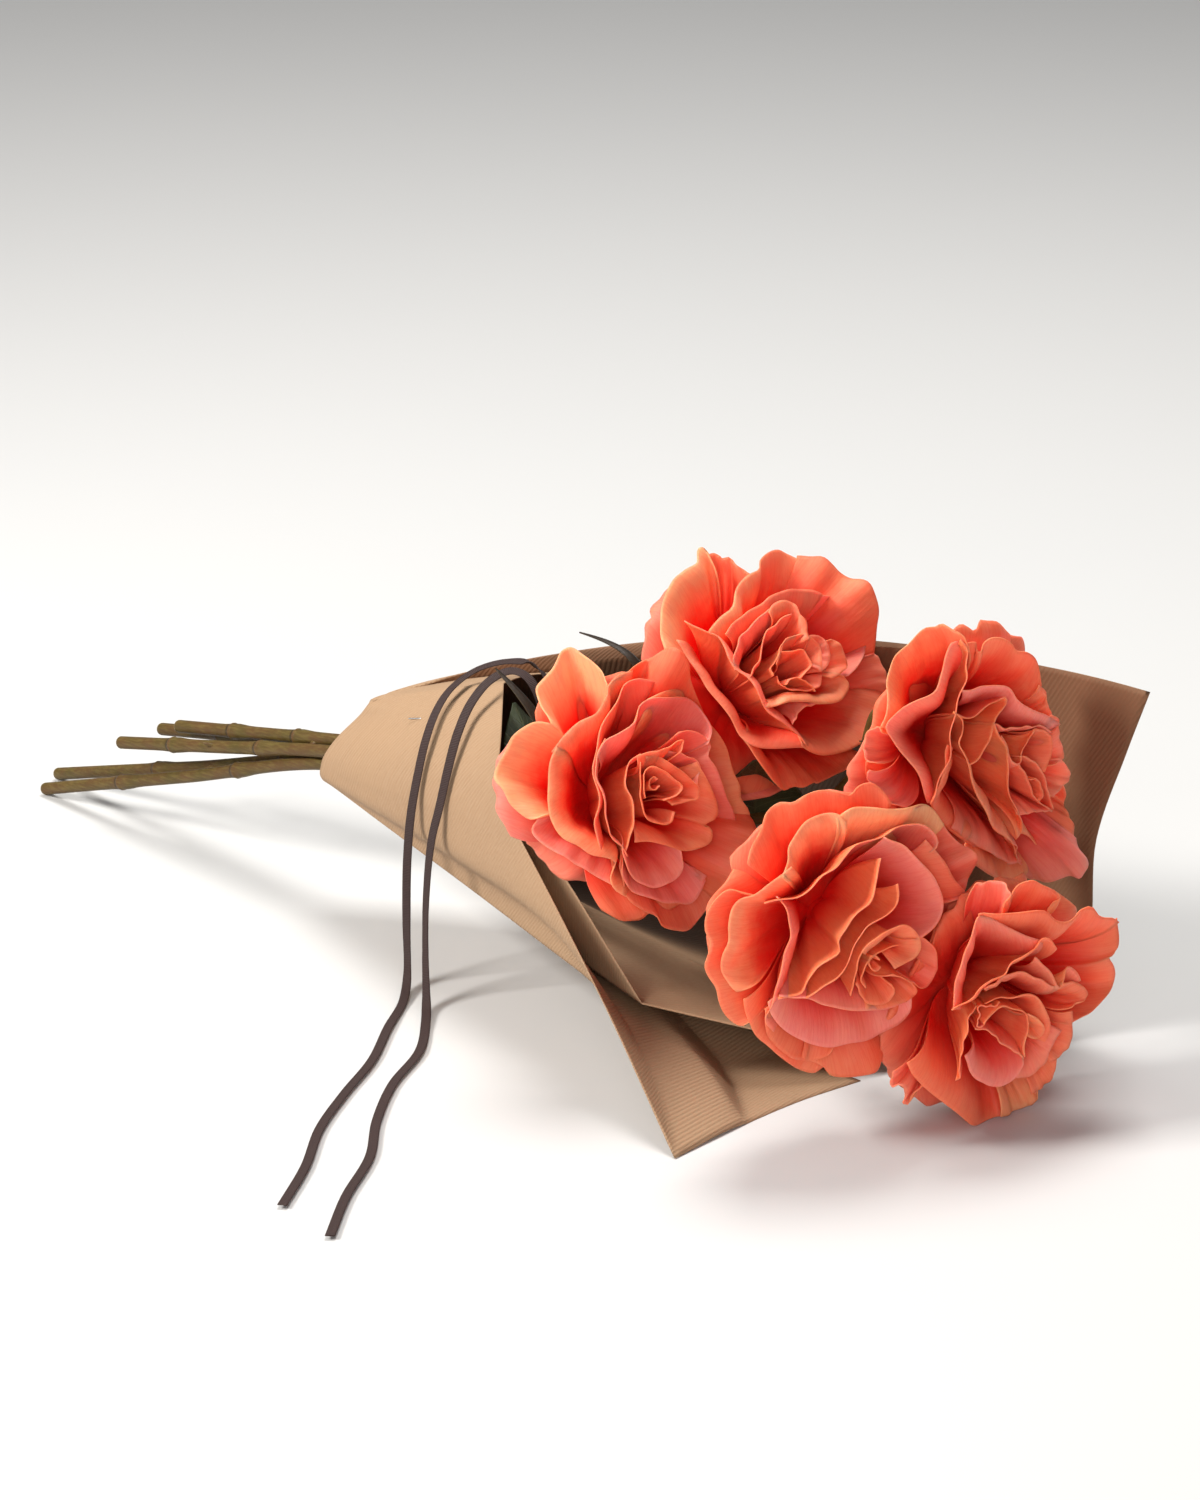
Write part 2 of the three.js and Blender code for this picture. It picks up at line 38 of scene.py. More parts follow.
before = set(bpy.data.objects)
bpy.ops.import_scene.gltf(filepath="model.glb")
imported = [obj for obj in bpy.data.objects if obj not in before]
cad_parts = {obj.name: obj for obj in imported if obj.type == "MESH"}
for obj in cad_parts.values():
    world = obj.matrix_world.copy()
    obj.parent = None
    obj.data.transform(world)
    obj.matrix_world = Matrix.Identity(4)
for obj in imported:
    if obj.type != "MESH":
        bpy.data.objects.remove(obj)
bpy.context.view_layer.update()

# Shapes are worked out in millimetres, counted from the cut stem ends, as the bunch was measured.
# This moves them to the frame's origin, below the middle of the bunch.
ORIGIN_MM = np.array([-323.68, 0.84, 0.0])
MM = 0.001

# The view that the bunch was measured in: its target and distance in millimetres, turn and lift in
# degrees, lens and sensor in millimetres, frame in pixels, and clipping distances in metres.
VIEW = {"target": (394, 0, 120.7), "turn": 42, "lift": 20, "distance": 2350, "lens": 120,
        "sensor": 36, "frame": (1200, 1500), "clip": (0.05, 50)}

FLOOR_WIDTH = 12
# The lamps: place and aim in metres, width in metres, watts, and colour.
LIGHTS = {
    "window_light": ((-0.75, -1.7, 1.65), (0.1, 0, 0.1), 0.7, 66, (1.0, 0.98, 0.95)),
    "fill_light": ((1.7, -1.9, 0.9), (0.15, 0, 0.1), 1.1, 22, (1.0, 0.98, 0.96)),
    "top_light": ((-0.3, 0.6, 2.3), (0.1, 0, 0.1), 1.0, 48, (1.0, 0.99, 0.97)),
}
AIR_TINT, AIR_GLOW = (0.93, 0.94, 0.96), 0.26

# ---------------------------------------------------------------- the roses' own numbers

# Each bloom's middle in millimetres, its axis's heading and pitch in degrees, how far its dome of
# rims drops towards its edge, and how far from the axis a rim may reach, in millimetres.
BLOOMS = {
    "rose_1": {"centre": (458, -55, 131), "heading": -20.6, "pitch": 24.8, "drop": 36, "reach": 66},
    "rose_2": {"centre": (465, 35, 163), "heading": -6.4, "pitch": 34, "drop": 26, "reach": 68},
    "rose_3": {"centre": (585, 38, 154), "heading": -2, "pitch": -8, "drop": 15, "reach": 80},
    "rose_4": {"centre": (590, -57, 98), "heading": -22.4, "pitch": -4, "drop": 30, "reach": 68},
    "rose_5": {"centre": (628, 4, 57), "heading": -10, "pitch": -10, "drop": 18, "reach": 66},
}
# Each petal is named by its place: its rim's height over the bloom's dome in millimetres, how far
# the rim leans out from the bloom's axis in degrees, its tone from peach (-1) through coral (0) to
# pink (1), and its rim as points seen in the view's frame, in pixels.
PETALS = {}
PETALS["rose_1"] = {
    "upper left lobe": (0, 100, -0.8, [(550, 724), (539, 702), (536, 688), (546, 676), (553, 668),
        (560, 652), (571, 647), (584, 655), (598, 669), (608, 684)]),
    "left lobe": (0, 95, -0.7, [(550, 724), (532, 722), (512, 737), (506, 750), (494, 778),
        (502, 790), (512, 806), (528, 818), (542, 814)]),
    "low left": (-3, 80, 0.8, [(536, 818), (533, 833), (555, 852), (578, 865), (597, 876),
        (614, 888)]),
    "upper back": (0, 65, 0.0, [(606, 694), (613, 680), (632, 669), (652, 657), (672, 647),
        (686, 653), (700, 672), (712, 690), (722, 707)]),
    "orange roll": (1, 115, -0.3, [(551, 752), (562, 738), (578, 722), (596, 713), (604, 699),
        (608, 686), (618, 675), (633, 670)]),
    "left roll": (0, 105, -0.5, [(556, 746), (550, 760), (548, 785), (548, 805), (552, 822),
        (562, 838), (578, 846), (591, 855), (606, 858), (616, 862), (612, 880), (615, 890),
        (625, 897)]),
    "left inner": (0, 50, 0.5, [(655, 682), (640, 679), (627, 684), (619, 696), (608, 712),
        (600, 730), (597, 750), (594, 768), (598, 790), (597, 808), (594, 822), (597, 838),
        (601, 850)]),
    "upper pink": (1, 50, 0.9, [(598, 756), (605, 741), (620, 733), (632, 722), (640, 706),
        (652, 699), (668, 698), (684, 698), (700, 704), (709, 716), (712, 730), (708, 744)]),
    "left pink": (0, 35, 0.8, [(604, 738), (599, 750), (596, 765), (599, 785), (604, 802),
        (606, 820), (613, 836), (622, 848), (627, 857)]),
    "lower pink": (0, 72, 0.9, [(622, 848), (624, 862), (632, 874), (642, 884), (654, 888),
        (666, 885), (678, 877), (683, 866), (681, 852)]),
    "heart point": (1, 70, 0.0, [(637, 756), (648, 752), (659, 750), (670, 747), (678, 741),
        (684, 740), (683, 748), (676, 755)]),
    "heart left": (-1, 25, 0.6, [(640, 753), (631, 760), (626, 775), (627, 788), (632, 802),
        (634, 816), (633, 830), (629, 842), (625, 851)]),
    "heart right": (-2, 35, 0.7, [(668, 752), (680, 753), (692, 758), (699, 764), (700, 774),
        (697, 785)]),
    "spiral lip": (0, 60, -0.1, [(646, 756), (658, 757), (670, 763), (682, 771), (692, 780),
        (700, 790), (698, 799), (686, 802), (672, 806)]),
    "spiral foot": (0, 35, 0.0, [(640, 762), (640, 778), (641, 795), (643, 810), (648, 820),
        (660, 824), (671, 822), (675, 812)]),
    "inner spiral": (0, 20, 0.0, [(646, 798), (644, 785), (645, 771), (652, 766), (662, 770),
        (674, 779), (683, 787), (677, 796), (664, 800)]),
    "eye": (-1, 12, 0.0, [(658, 779), (654, 777), (650, 780), (650, 787), (655, 790), (660, 786)]),
    "lower lip": (-1, 85, -0.4, [(697, 762), (705, 776), (712, 790), (717, 804), (716, 818),
        (704, 826), (712, 832), (711, 842), (698, 849), (684, 851), (665, 846), (650, 841),
        (635, 842)]),
    "right pink": (-1, 60, 0.7, [(678, 732), (692, 732), (703, 736), (711, 746), (708, 755),
        (717, 769), (723, 785), (728, 800), (733, 811), (736, 825), (733, 842), (726, 858),
        (712, 870), (703, 882)]),
    "right peach": (0, 88, -0.6, [(648, 699), (664, 691), (682, 688), (697, 692), (710, 708),
        (725, 711), (736, 722), (742, 736), (740, 752), (738, 770), (742, 785), (741, 798),
        (748, 808), (750, 820), (744, 836), (732, 852)]),
    "low right": (-2, 75, 0.0, [(746, 812), (754, 824), (758, 836), (754, 850), (747, 868),
        (740, 884), (728, 893), (714, 900)]),
    "low pink": (0, 75, 0.9, [(622, 868), (625, 881), (632, 890), (645, 897), (660, 902),
        (680, 903), (693, 902), (701, 892), (706, 880)]),
    "bottom peach": (-2, 92, 0.2, [(620, 866), (623, 880), (626, 892), (632, 902), (645, 912),
        (655, 917), (662, 926), (675, 930), (690, 931), (705, 922), (712, 906), (715, 890),
        (712, 872)]),
}
PETALS["rose_2"] = {
    "left back": (1, 112, -0.7, [(664, 652), (661, 635), (661, 612), (665, 595), (672, 581),
        (684, 570), (697, 562), (698, 548), (704, 548), (711, 558)]),
    "back left": (-4, 80, -0.1, [(704, 556), (714, 553), (722, 558), (729, 557), (738, 566),
        (750, 574)]),
    "top": (0, 100, -0.5, [(708, 632), (712, 626), (720, 617), (731, 608), (734, 596), (738, 586),
        (744, 578), (751, 573), (759, 569), (760, 560), (768, 552), (779, 550), (789, 554),
        (800, 560)]),
    "top right": (-2, 88, -0.2, [(797, 556), (808, 557), (822, 557), (832, 565), (840, 572),
        (850, 577), (862, 579), (870, 583), (876, 593), (879, 605), (880, 622), (880, 640),
        (876, 652)]),
    "right low": (-5, 80, 0.2, [(876, 640), (877, 652), (882, 660), (887, 669), (888, 685),
        (886, 695)]),
    "second top": (1, 75, 0.2, [(724, 634), (735, 622), (748, 612), (760, 604), (768, 597),
        (780, 592), (790, 589), (800, 589), (812, 590), (822, 594)]),
    "right pink": (0, 68, 0.8, [(806, 592), (820, 594), (835, 597), (848, 602), (858, 608),
        (864, 617), (866, 630), (866, 642), (863, 656), (857, 667), (848, 676)]),
    "top orange": (1, 100, -0.2, [(768, 612), (772, 605), (780, 601), (790, 601), (797, 606),
        (800, 614), (806, 622), (808, 632), (810, 640)]),
    "left inner": (0, 60, 0.7, [(780, 606), (770, 609), (760, 615), (753, 624), (745, 633),
        (738, 641), (735, 650), (733, 661), (735, 670)]),
    "left heart": (0, 40, 0.5, [(792, 614), (784, 617), (776, 623), (768, 630), (764, 638),
        (762, 650), (758, 660), (753, 670), (750, 678)]),
    "heart top": (0, 45, 0.1, [(776, 664), (780, 652), (784, 643), (792, 637), (802, 634),
        (812, 638), (820, 647), (822, 660), (822, 672)]),
    "heart right": (0, 70, 0.3, [(808, 636), (815, 635), (823, 638), (829, 648), (830, 660),
        (826, 668), (821, 672)]),
    "right outer lip": (0, 88, -0.4, [(826, 641), (834, 640), (841, 647), (846, 658), (848, 666),
        (842, 673), (832, 679)]),
    "low lip": (0, 100, -0.5, [(838, 676), (846, 679), (849, 686), (845, 696), (838, 702),
        (824, 704), (808, 702), (792, 702), (777, 706), (765, 708)]),
    "heart cup": (0, 25, 0.3, [(773, 676), (771, 668), (777, 660), (780, 648), (786, 640),
        (795, 635)]),
    "bud face": (0, 15, -0.2, [(780, 652), (792, 651), (803, 650), (808, 657), (812, 665),
        (806, 672), (801, 678)]),
    "bud low": (-1, 40, 0.2, [(777, 676), (782, 686), (790, 690), (800, 690), (812, 690),
        (820, 686), (822, 674)]),
    "bud scoop": (0, 20, 0.1, [(786, 684), (792, 679), (802, 679), (810, 685), (816, 691)]),
    "long fold": (1, 70, 0.4, [(684, 621), (694, 628), (706, 633), (718, 635), (724, 644),
        (728, 656), (736, 668), (746, 676), (753, 686), (758, 697), (765, 708), (776, 718),
        (790, 727), (801, 736), (807, 747)]),
    "long turn": (-2, 108, 0.2, [(676, 640), (690, 660), (706, 688), (722, 707), (733, 722),
        (743, 738), (755, 747), (775, 749), (795, 748), (808, 748)]),
    "low right": (0, 92, -0.3, [(803, 745), (815, 754), (830, 755), (845, 752), (860, 744),
        (872, 736), (880, 722), (886, 710), (888, 698), (884, 690)]),
    "bottom": (-3, 94, -0.3, [(743, 738), (750, 748), (758, 760), (766, 773), (773, 783),
        (785, 791), (795, 787), (806, 792), (817, 788), (822, 794), (842, 791), (850, 792),
        (855, 782), (858, 770), (868, 763)]),
    "shaded": (-1, 60, 0.6, [(793, 725), (797, 715), (806, 707), (816, 704), (826, 704)]),
}
PETALS["rose_3"] = {
    "upper left": (0, 100, -0.5, [(880, 727), (885, 712), (888, 698), (888, 678), (894, 660),
        (903, 648), (914, 636), (926, 628), (936, 627), (941, 624), (952, 630), (963, 637),
        (968, 646)]),
    "back right": (-4, 85, -0.3, [(964, 644), (976, 642), (979, 652), (985, 644), (994, 638),
        (1004, 639), (1013, 645), (1016, 650), (1026, 651), (1036, 659), (1040, 672), (1042, 686)]),
    "back right low": (-3, 80, 0.0, [(1038, 684), (1046, 692), (1047, 702), (1051, 712),
        (1058, 722)]),
    "pink crest": (1, 60, 0.5, [(960, 641), (968, 650), (967, 665), (968, 677), (963, 690),
        (957, 704), (952, 718), (950, 735), (951, 757), (944, 773), (936, 788), (929, 804)]),
    "pink turn": (-2, 105, 0.5, [(962, 640), (952, 643), (946, 656), (942, 675), (936, 690),
        (915, 700), (898, 712), (886, 727), (895, 742), (908, 760), (919, 778), (927, 803)]),
    "orange crest": (1, 65, -0.4, [(953, 712), (962, 719), (961, 730), (958, 742), (966, 754),
        (970, 766), (971, 780), (977, 796), (983, 810), (990, 822), (998, 832), (1008, 838),
        (1014, 846), (1017, 858)]),
    "orange turn": (-2, 100, -0.3, [(948, 745), (942, 775), (932, 800), (938, 818), (955, 835),
        (975, 848)]),
    "red low": (-1, 75, 0.4, [(950, 828), (965, 838), (980, 848), (1000, 858), (1012, 864),
        (1020, 862)]),
    "bottom orange": (-2, 95, -0.5, [(960, 855), (977, 867), (988, 874), (1000, 880), (1012, 881),
        (1024, 878), (1034, 877)]),
    "bottom pink": (-1, 88, 0.8, [(1022, 876), (1035, 879), (1050, 881), (1063, 879), (1072, 876),
        (1080, 878), (1086, 868), (1085, 858), (1080, 848), (1076, 838)]),
    "right outer": (-2, 88, 0.0, [(1076, 845), (1074, 828), (1072, 812), (1068, 798), (1064, 786)]),
    "right lobe": (0, 85, 0.2, [(1052, 797), (1060, 790), (1066, 783), (1070, 772), (1064, 763),
        (1060, 757)]),
    "upper right lobe": (0, 85, 0.2, [(1052, 765), (1062, 760), (1064, 750), (1060, 740),
        (1058, 728), (1060, 720), (1052, 715)]),
    "upper right pink": (0, 75, 0.8, [(1060, 724), (1048, 716), (1036, 711), (1026, 706),
        (1017, 698), (1009, 689), (998, 686), (985, 686), (972, 688), (962, 690)]),
    "inner tip": (0, 35, 0.2, [(956, 714), (970, 716), (984, 709), (996, 702), (1006, 698),
        (1003, 708), (998, 718), (994, 728), (988, 742), (980, 755), (970, 764)]),
    "left cup": (0, 30, 0.3, [(994, 722), (1000, 735), (1006, 748), (1008, 762), (1008, 776),
        (1009, 787), (1012, 800), (1017, 812), (1022, 822), (1021, 832), (1016, 840)]),
    "top cup": (0, 45, 0.4, [(996, 724), (1008, 728), (1020, 728), (1032, 725), (1044, 727),
        (1052, 733)]),
    "pale small": (0, 55, 0.3, [(1002, 735), (1007, 748), (1012, 761), (1019, 762), (1023, 750),
        (1030, 738), (1034, 728)]),
    "heart ring": (0, 40, 0.0, [(1036, 728), (1046, 731), (1052, 740), (1052, 752), (1048, 764),
        (1045, 772)]),
    "heart": (0, 20, 0.1, [(1020, 757), (1028, 757), (1036, 763), (1042, 772), (1047, 784),
        (1050, 797), (1053, 810)]),
    "heart left": (0, 15, 0.1, [(1019, 764), (1025, 772), (1030, 786), (1036, 798), (1044, 806),
        (1052, 812)]),
    "heart eye": (1, 10, 0.0, [(1030, 779), (1036, 779), (1041, 786), (1043, 795), (1040, 801)]),
    "heart foot": (0, 50, 0.3, [(1016, 815), (1028, 814), (1040, 811), (1052, 812)]),
    "pale tongue": (0, 88, 0.4, [(1014, 838), (1022, 834), (1031, 838), (1037, 847), (1039, 858),
        (1043, 864), (1038, 868), (1030, 860)]),
    "low cup": (-1, 70, 0.5, [(1005, 838), (1014, 846), (1017, 858), (1022, 864), (1034, 866),
        (1043, 864)]),
    "left lobe": (-2, 100, 0.4, [(884, 732), (878, 727), (870, 731), (864, 740), (863, 750),
        (867, 759), (876, 764)]),
    "left low lobe": (-3, 95, 0.9, [(868, 772), (864, 779), (868, 790), (880, 796), (892, 806),
        (905, 808)]),
}
PETALS["rose_4"] = {
    "upper peach": (-1, 92, -0.3, [(747, 864), (751, 848), (760, 828), (768, 812), (780, 803),
        (792, 803), (806, 795), (822, 790), (838, 791), (850, 795), (860, 786), (872, 783),
        (881, 789), (892, 803)]),
    "upper right": (-1, 85, 0.4, [(908, 808), (924, 804), (935, 808), (943, 818), (951, 828),
        (962, 834), (972, 842), (980, 855), (976, 867), (972, 880), (966, 890), (960, 900)]),
    "top roll": (0, 115, -0.9, [(836, 818), (850, 808), (870, 807), (893, 809), (912, 806),
        (928, 804), (938, 809), (946, 822)]),
    "upper left roll": (0, 112, -0.6, [(846, 822), (838, 814), (822, 814), (806, 821), (795, 834),
        (789, 850), (787, 865), (781, 877)]),
    "left roll": (0, 112, -0.5, [(791, 866), (779, 876), (766, 886), (752, 896), (740, 900),
        (732, 908), (728, 925), (728, 942), (722, 955), (721, 970), (728, 983), (737, 992),
        (745, 990)]),
    "left outer": (0, 95, -0.3, [(745, 894), (730, 890), (718, 896), (710, 905), (705, 918),
        (706, 932), (711, 942), (708, 955), (705, 967), (709, 978), (715, 987), (718, 1000),
        (723, 1012), (732, 1022), (741, 1026), (751, 1020)]),
    "low left": (0, 92, -0.2, [(744, 1000), (748, 1020), (756, 1036), (770, 1048), (784, 1060),
        (798, 1069), (812, 1072), (826, 1066)]),
    "bottom": (-1, 92, -0.2, [(802, 1058), (822, 1066), (830, 1074), (846, 1077), (866, 1075),
        (884, 1072), (893, 1060), (899, 1048), (912, 1045), (925, 1030), (938, 1017), (951, 1010)]),
    "left cup": (0, 62, 0.6, [(777, 896), (785, 908), (789, 924), (788, 946), (782, 968),
        (775, 990), (769, 1008), (767, 1022), (774, 1032)]),
    "concave": (1, 35, 0.6, [(764, 903), (784, 898), (800, 895), (812, 889), (824, 877), (836, 869),
        (845, 856), (855, 846), (870, 839), (884, 834), (897, 828), (910, 826), (924, 826),
        (935, 834), (938, 845), (932, 851)]),
    "right scallop": (1, 55, 0.8, [(884, 838), (903, 846), (918, 858), (930, 872), (938, 885),
        (943, 900), (942, 915), (936, 927), (925, 935), (916, 940)]),
    "right ring": (0, 80, 0.2, [(926, 840), (945, 862), (955, 880), (965, 890), (972, 905),
        (973, 920), (968, 935), (965, 950), (960, 965), (958, 980), (955, 1000), (950, 1013),
        (940, 1017), (928, 1026)]),
    "inner fold": (0, 30, 0.4, [(880, 858), (876, 882), (871, 903), (862, 912), (852, 920),
        (843, 931), (838, 941), (839, 952), (829, 959), (818, 967), (810, 981), (803, 993),
        (790, 996), (778, 999)]),
    "heart fold": (0, 40, 0.3, [(897, 884), (899, 895), (897, 905), (890, 913), (878, 921),
        (866, 928), (858, 937), (853, 947), (849, 960), (843, 972), (834, 982), (820, 989),
        (806, 998)]),
    "heart top": (1, 70, -0.4, [(862, 952), (868, 944), (880, 935), (893, 929), (904, 925),
        (914, 930), (920, 938), (921, 948), (916, 957), (906, 963), (895, 969)]),
    "heart left": (0, 18, 0.1, [(889, 931), (877, 937), (867, 946), (860, 957), (856, 970),
        (854, 983), (851, 996)]),
    "heart foot": (0, 50, -0.2, [(855, 984), (861, 995), (868, 1003), (878, 1005), (888, 1002),
        (894, 993), (892, 984)]),
    "low heart": (0, 70, -0.3, [(893, 974), (905, 979), (916, 985), (917, 993), (909, 1000),
        (895, 1005), (880, 1009), (866, 1009)]),
    "right heart": (0, 60, 0.4, [(914, 937), (926, 941), (935, 949), (938, 962), (937, 975),
        (930, 985), (920, 988), (911, 984)]),
    "eye": (0, 15, -0.3, [(880, 960), (876, 956), (871, 957), (869, 963), (872, 969), (877, 971),
        (881, 967)]),
    "inner heart": (0, 25, -0.3, [(899, 945), (888, 948), (878, 953), (870, 960), (864, 970),
        (861, 981), (866, 988)]),
    "low dark": (0, 45, 0.8, [(779, 996), (795, 998), (812, 1001), (830, 1006), (850, 1010),
        (870, 1011), (890, 1008), (908, 1001)]),
    "low pink": (0, 85, 0.9, [(768, 1002), (771, 1014), (778, 1024), (788, 1033), (801, 1040),
        (815, 1045), (832, 1047), (850, 1043), (870, 1040), (886, 1031), (901, 1022), (911, 1010),
        (912, 998)]),
    "low peach": (-1, 92, -0.1, [(764, 1008), (766, 1024), (768, 1036), (777, 1047), (790, 1057),
        (802, 1061), (816, 1060), (828, 1055), (837, 1044)]),
}
PETALS["rose_5"] = {
    "upper left": (-3, 85, 0.6, [(965, 892), (974, 884), (986, 881), (1000, 882), (1009, 888),
        (1012, 896)]),
    "top": (-3, 85, 0.0, [(1003, 905), (1012, 894), (1022, 884), (1031, 879), (1041, 884),
        (1050, 888), (1060, 897), (1054, 903), (1048, 909)]),
    "top orange": (-1, 95, -0.2, [(976, 913), (992, 914), (1012, 914), (1030, 910), (1046, 911),
        (1056, 920), (1066, 922), (1075, 918), (1083, 910), (1091, 906), (1097, 914), (1104, 917),
        (1114, 918), (1119, 922)]),
    "right": (-1, 88, 0.0, [(1117, 918), (1118, 936), (1116, 951), (1110, 957), (1114, 966),
        (1115, 978), (1109, 993), (1098, 1006), (1085, 1015), (1073, 1022)]),
    "left crest": (1, 65, -0.1, [(1057, 950), (1050, 939), (1042, 938), (1036, 947), (1024, 954),
        (1014, 963), (1006, 974), (992, 980), (979, 988), (971, 997), (963, 1005), (952, 1011)]),
    "left turn": (-2, 102, 0.5, [(952, 1008), (958, 975), (966, 945), (974, 916), (990, 918),
        (1008, 927), (1025, 935), (1042, 940)]),
    "inner top": (0, 70, 0.2, [(985, 990), (996, 980), (1006, 975), (1018, 973), (1032, 975),
        (1043, 980), (1052, 986), (1061, 988)]),
    "inner right": (0, 70, 0.3, [(1035, 956), (1044, 965), (1052, 975), (1060, 987), (1065, 974),
        (1069, 968), (1077, 972), (1081, 980)]),
    "right small": (0, 80, 0.0, [(1062, 984), (1075, 982), (1083, 986), (1088, 993), (1084, 1000),
        (1077, 1004), (1071, 1007)]),
    "heart top": (0, 55, -0.3, [(985, 1004), (997, 999), (1008, 997), (1020, 995), (1031, 994),
        (1038, 998), (1045, 1009), (1050, 1020), (1050, 1032), (1045, 1042)]),
    "bud face": (1, 20, -0.3, [(985, 1025), (993, 1013), (1003, 1006), (1013, 1008), (1022, 1012),
        (1027, 1018), (1028, 1030), (1026, 1040), (1024, 1057)]),
    "bud right": (0, 30, -0.5, [(1028, 1014), (1037, 1018), (1044, 1027), (1043, 1034),
        (1036, 1039), (1028, 1036)]),
    "bud low": (0, 35, 0.4, [(976, 1028), (986, 1031), (996, 1037), (1005, 1046), (1014, 1052),
        (1025, 1058)]),
    "bud left": (0, 40, 0.6, [(1000, 1003), (990, 1006), (980, 1008), (978, 1018), (977, 1026),
        (984, 1024)]),
    "inner crest": (0, 50, 0.2, [(978, 1007), (970, 1016), (966, 1030), (964, 1045), (961, 1060),
        (957, 1071), (960, 1079), (955, 1081)]),
    "lower pink": (0, 82, 0.8, [(966, 1056), (968, 1068), (974, 1078), (983, 1083), (994, 1087),
        (1004, 1085), (1014, 1079), (1021, 1070), (1023, 1058)]),
    "lower right": (0, 85, 0.4, [(1016, 1078), (1028, 1077), (1038, 1069), (1047, 1060),
        (1051, 1048), (1056, 1038), (1061, 1030)]),
    "bottom": (-1, 88, 0.0, [(905, 1062), (914, 1076), (924, 1087), (936, 1097), (950, 1108),
        (964, 1119), (978, 1131), (990, 1134), (1001, 1130), (1008, 1119)]),
    "bottom right": (-2, 88, -0.7, [(1000, 1118), (1010, 1119), (1020, 1117), (1030, 1110),
        (1037, 1099), (1038, 1089)]),
    "low right": (-1, 88, -0.4, [(1030, 1094), (1042, 1088), (1050, 1080), (1055, 1070),
        (1057, 1057)]),
    "right low": (-1, 88, 0.0, [(1050, 1062), (1062, 1055), (1069, 1045), (1072, 1034),
        (1073, 1022), (1072, 1010)]),
    "left red": (-4, 85, 0.4, [(893, 1072), (892, 1087), (900, 1086), (905, 1092), (904, 1104),
        (913, 1096), (922, 1086)]),
}
# Petals behind the drawn ones: (turn, rim, rise, width) in degrees round the bloom's axis and
# millimetres.
BACK_PETALS = {
    "rose_1": [(112, 58, 16, 46), (178, 54, 14, 50), (228, 42, 12, 44), (70, 56, 20, 56),
        (-24, 60, 18, 56), (-66, 58, 20, 56), (14, 54, 16, 52)],
    "rose_2": [(146, 58, 16, 56), (100, 60, 16, 50), (60, 62, 18, 54), (20, 62, 18, 54),
        (-20, 60, 18, 60), (-55, 58, 16, 62), (215, 54, 18, 56), (-95, 50, 18, 56)],
    "rose_3": [(140, 58, 18, 58), (185, 56, 12, 48), (75, 58, 20, 62), (18, 60, 18, 58),
        (-62, 60, 20, 60), (-105, 56, 22, 60), (-20, 56, 20, 56), (225, 52, 18, 56)],
    "rose_4": [(104, 58, 14, 70), (42, 58, 18, 70), (174, 56, 14, 64), (-122, 54, 16, 60),
        (-78, 58, 16, 66), (-30, 58, 16, 62), (10, 56, 18, 60)],
    "rose_5": [(0, 62, 18, 66), (38, 54, 12, 48), (72, 50, 14, 48), (-52, 60, 20, 58),
        (-105, 56, 24, 66), (150, 56, 18, 60), (-150, 54, 18, 58), (110, 52, 20, 56)],
}
# Their rolled lip's length, how far it curls in degrees, how tightly they hug the axis, and how far
# their rims stand behind the drawn ones.
RULED_LIP, RULED_CURL, RULED_HUG, BEHIND = 10.0, 75, 0.6, 4.5
PETAL_SEED = 40
# The dome's height over a bloom's base, the distance from the axis where its drop is measured, and
# how far the base is behind the bloom's middle.
DOME_TOP, DOME_REACH, BLOOM_DISC = 58.0, 64.0, 28.0
# A bloom's own level direction, across the view, as a heading in degrees.
ACROSS_HEADING = 42.0
# How far a petal may reach past the middle between two blooms, where they nest in each other.
OVERLAP = 9.0

# The height and radius of the receptacle inside a bloom and of the hip behind it.
CORE_PROFILE = [(0.2, 3), (4, 8.5), (10, 9.5), (22, 8.5), (32, 5), (36, 1.0)]
HIP_PROFILE = [(-13, 3.4), (-10, 3.9), (-7, 6.2), (-4, 7.6), (-2, 7.0), (-0.35, 5.4)]

# Planes that a bloom's petals stay behind: a point on the plane and the way in from it.
KEEP_CLEAR = {
    "rose_1": [((497, -16, 86), (-39, -41, 43))],
    "rose_2": [((470, 103, 150), (0.05, -1, 0)), ((490, 40, 116), (-0.35, -0.1, 1))],
    "rose_3": [((585, 106, 150), (0, -1, 0))],
    "rose_4": [((590, -57, 8), (0, 0, 1))],
    "rose_5": [((600, 70, 60), (0, -1, 0))],
}

# The stems pass through a ring about the neck's middle.
NECK = np.array([220.0, 0.0, 77.0])
NECK_RING = 6.3
CALYX_LENGTH, SEPALS, LEAF_TEETH = 13.0, 5, 16
# Points on a dense spline, and on the even lines of a stem and a ribbon tail taken from it.
DENSE_POINTS, STEM_POINTS, TAIL_POINTS = 900, 560, 240
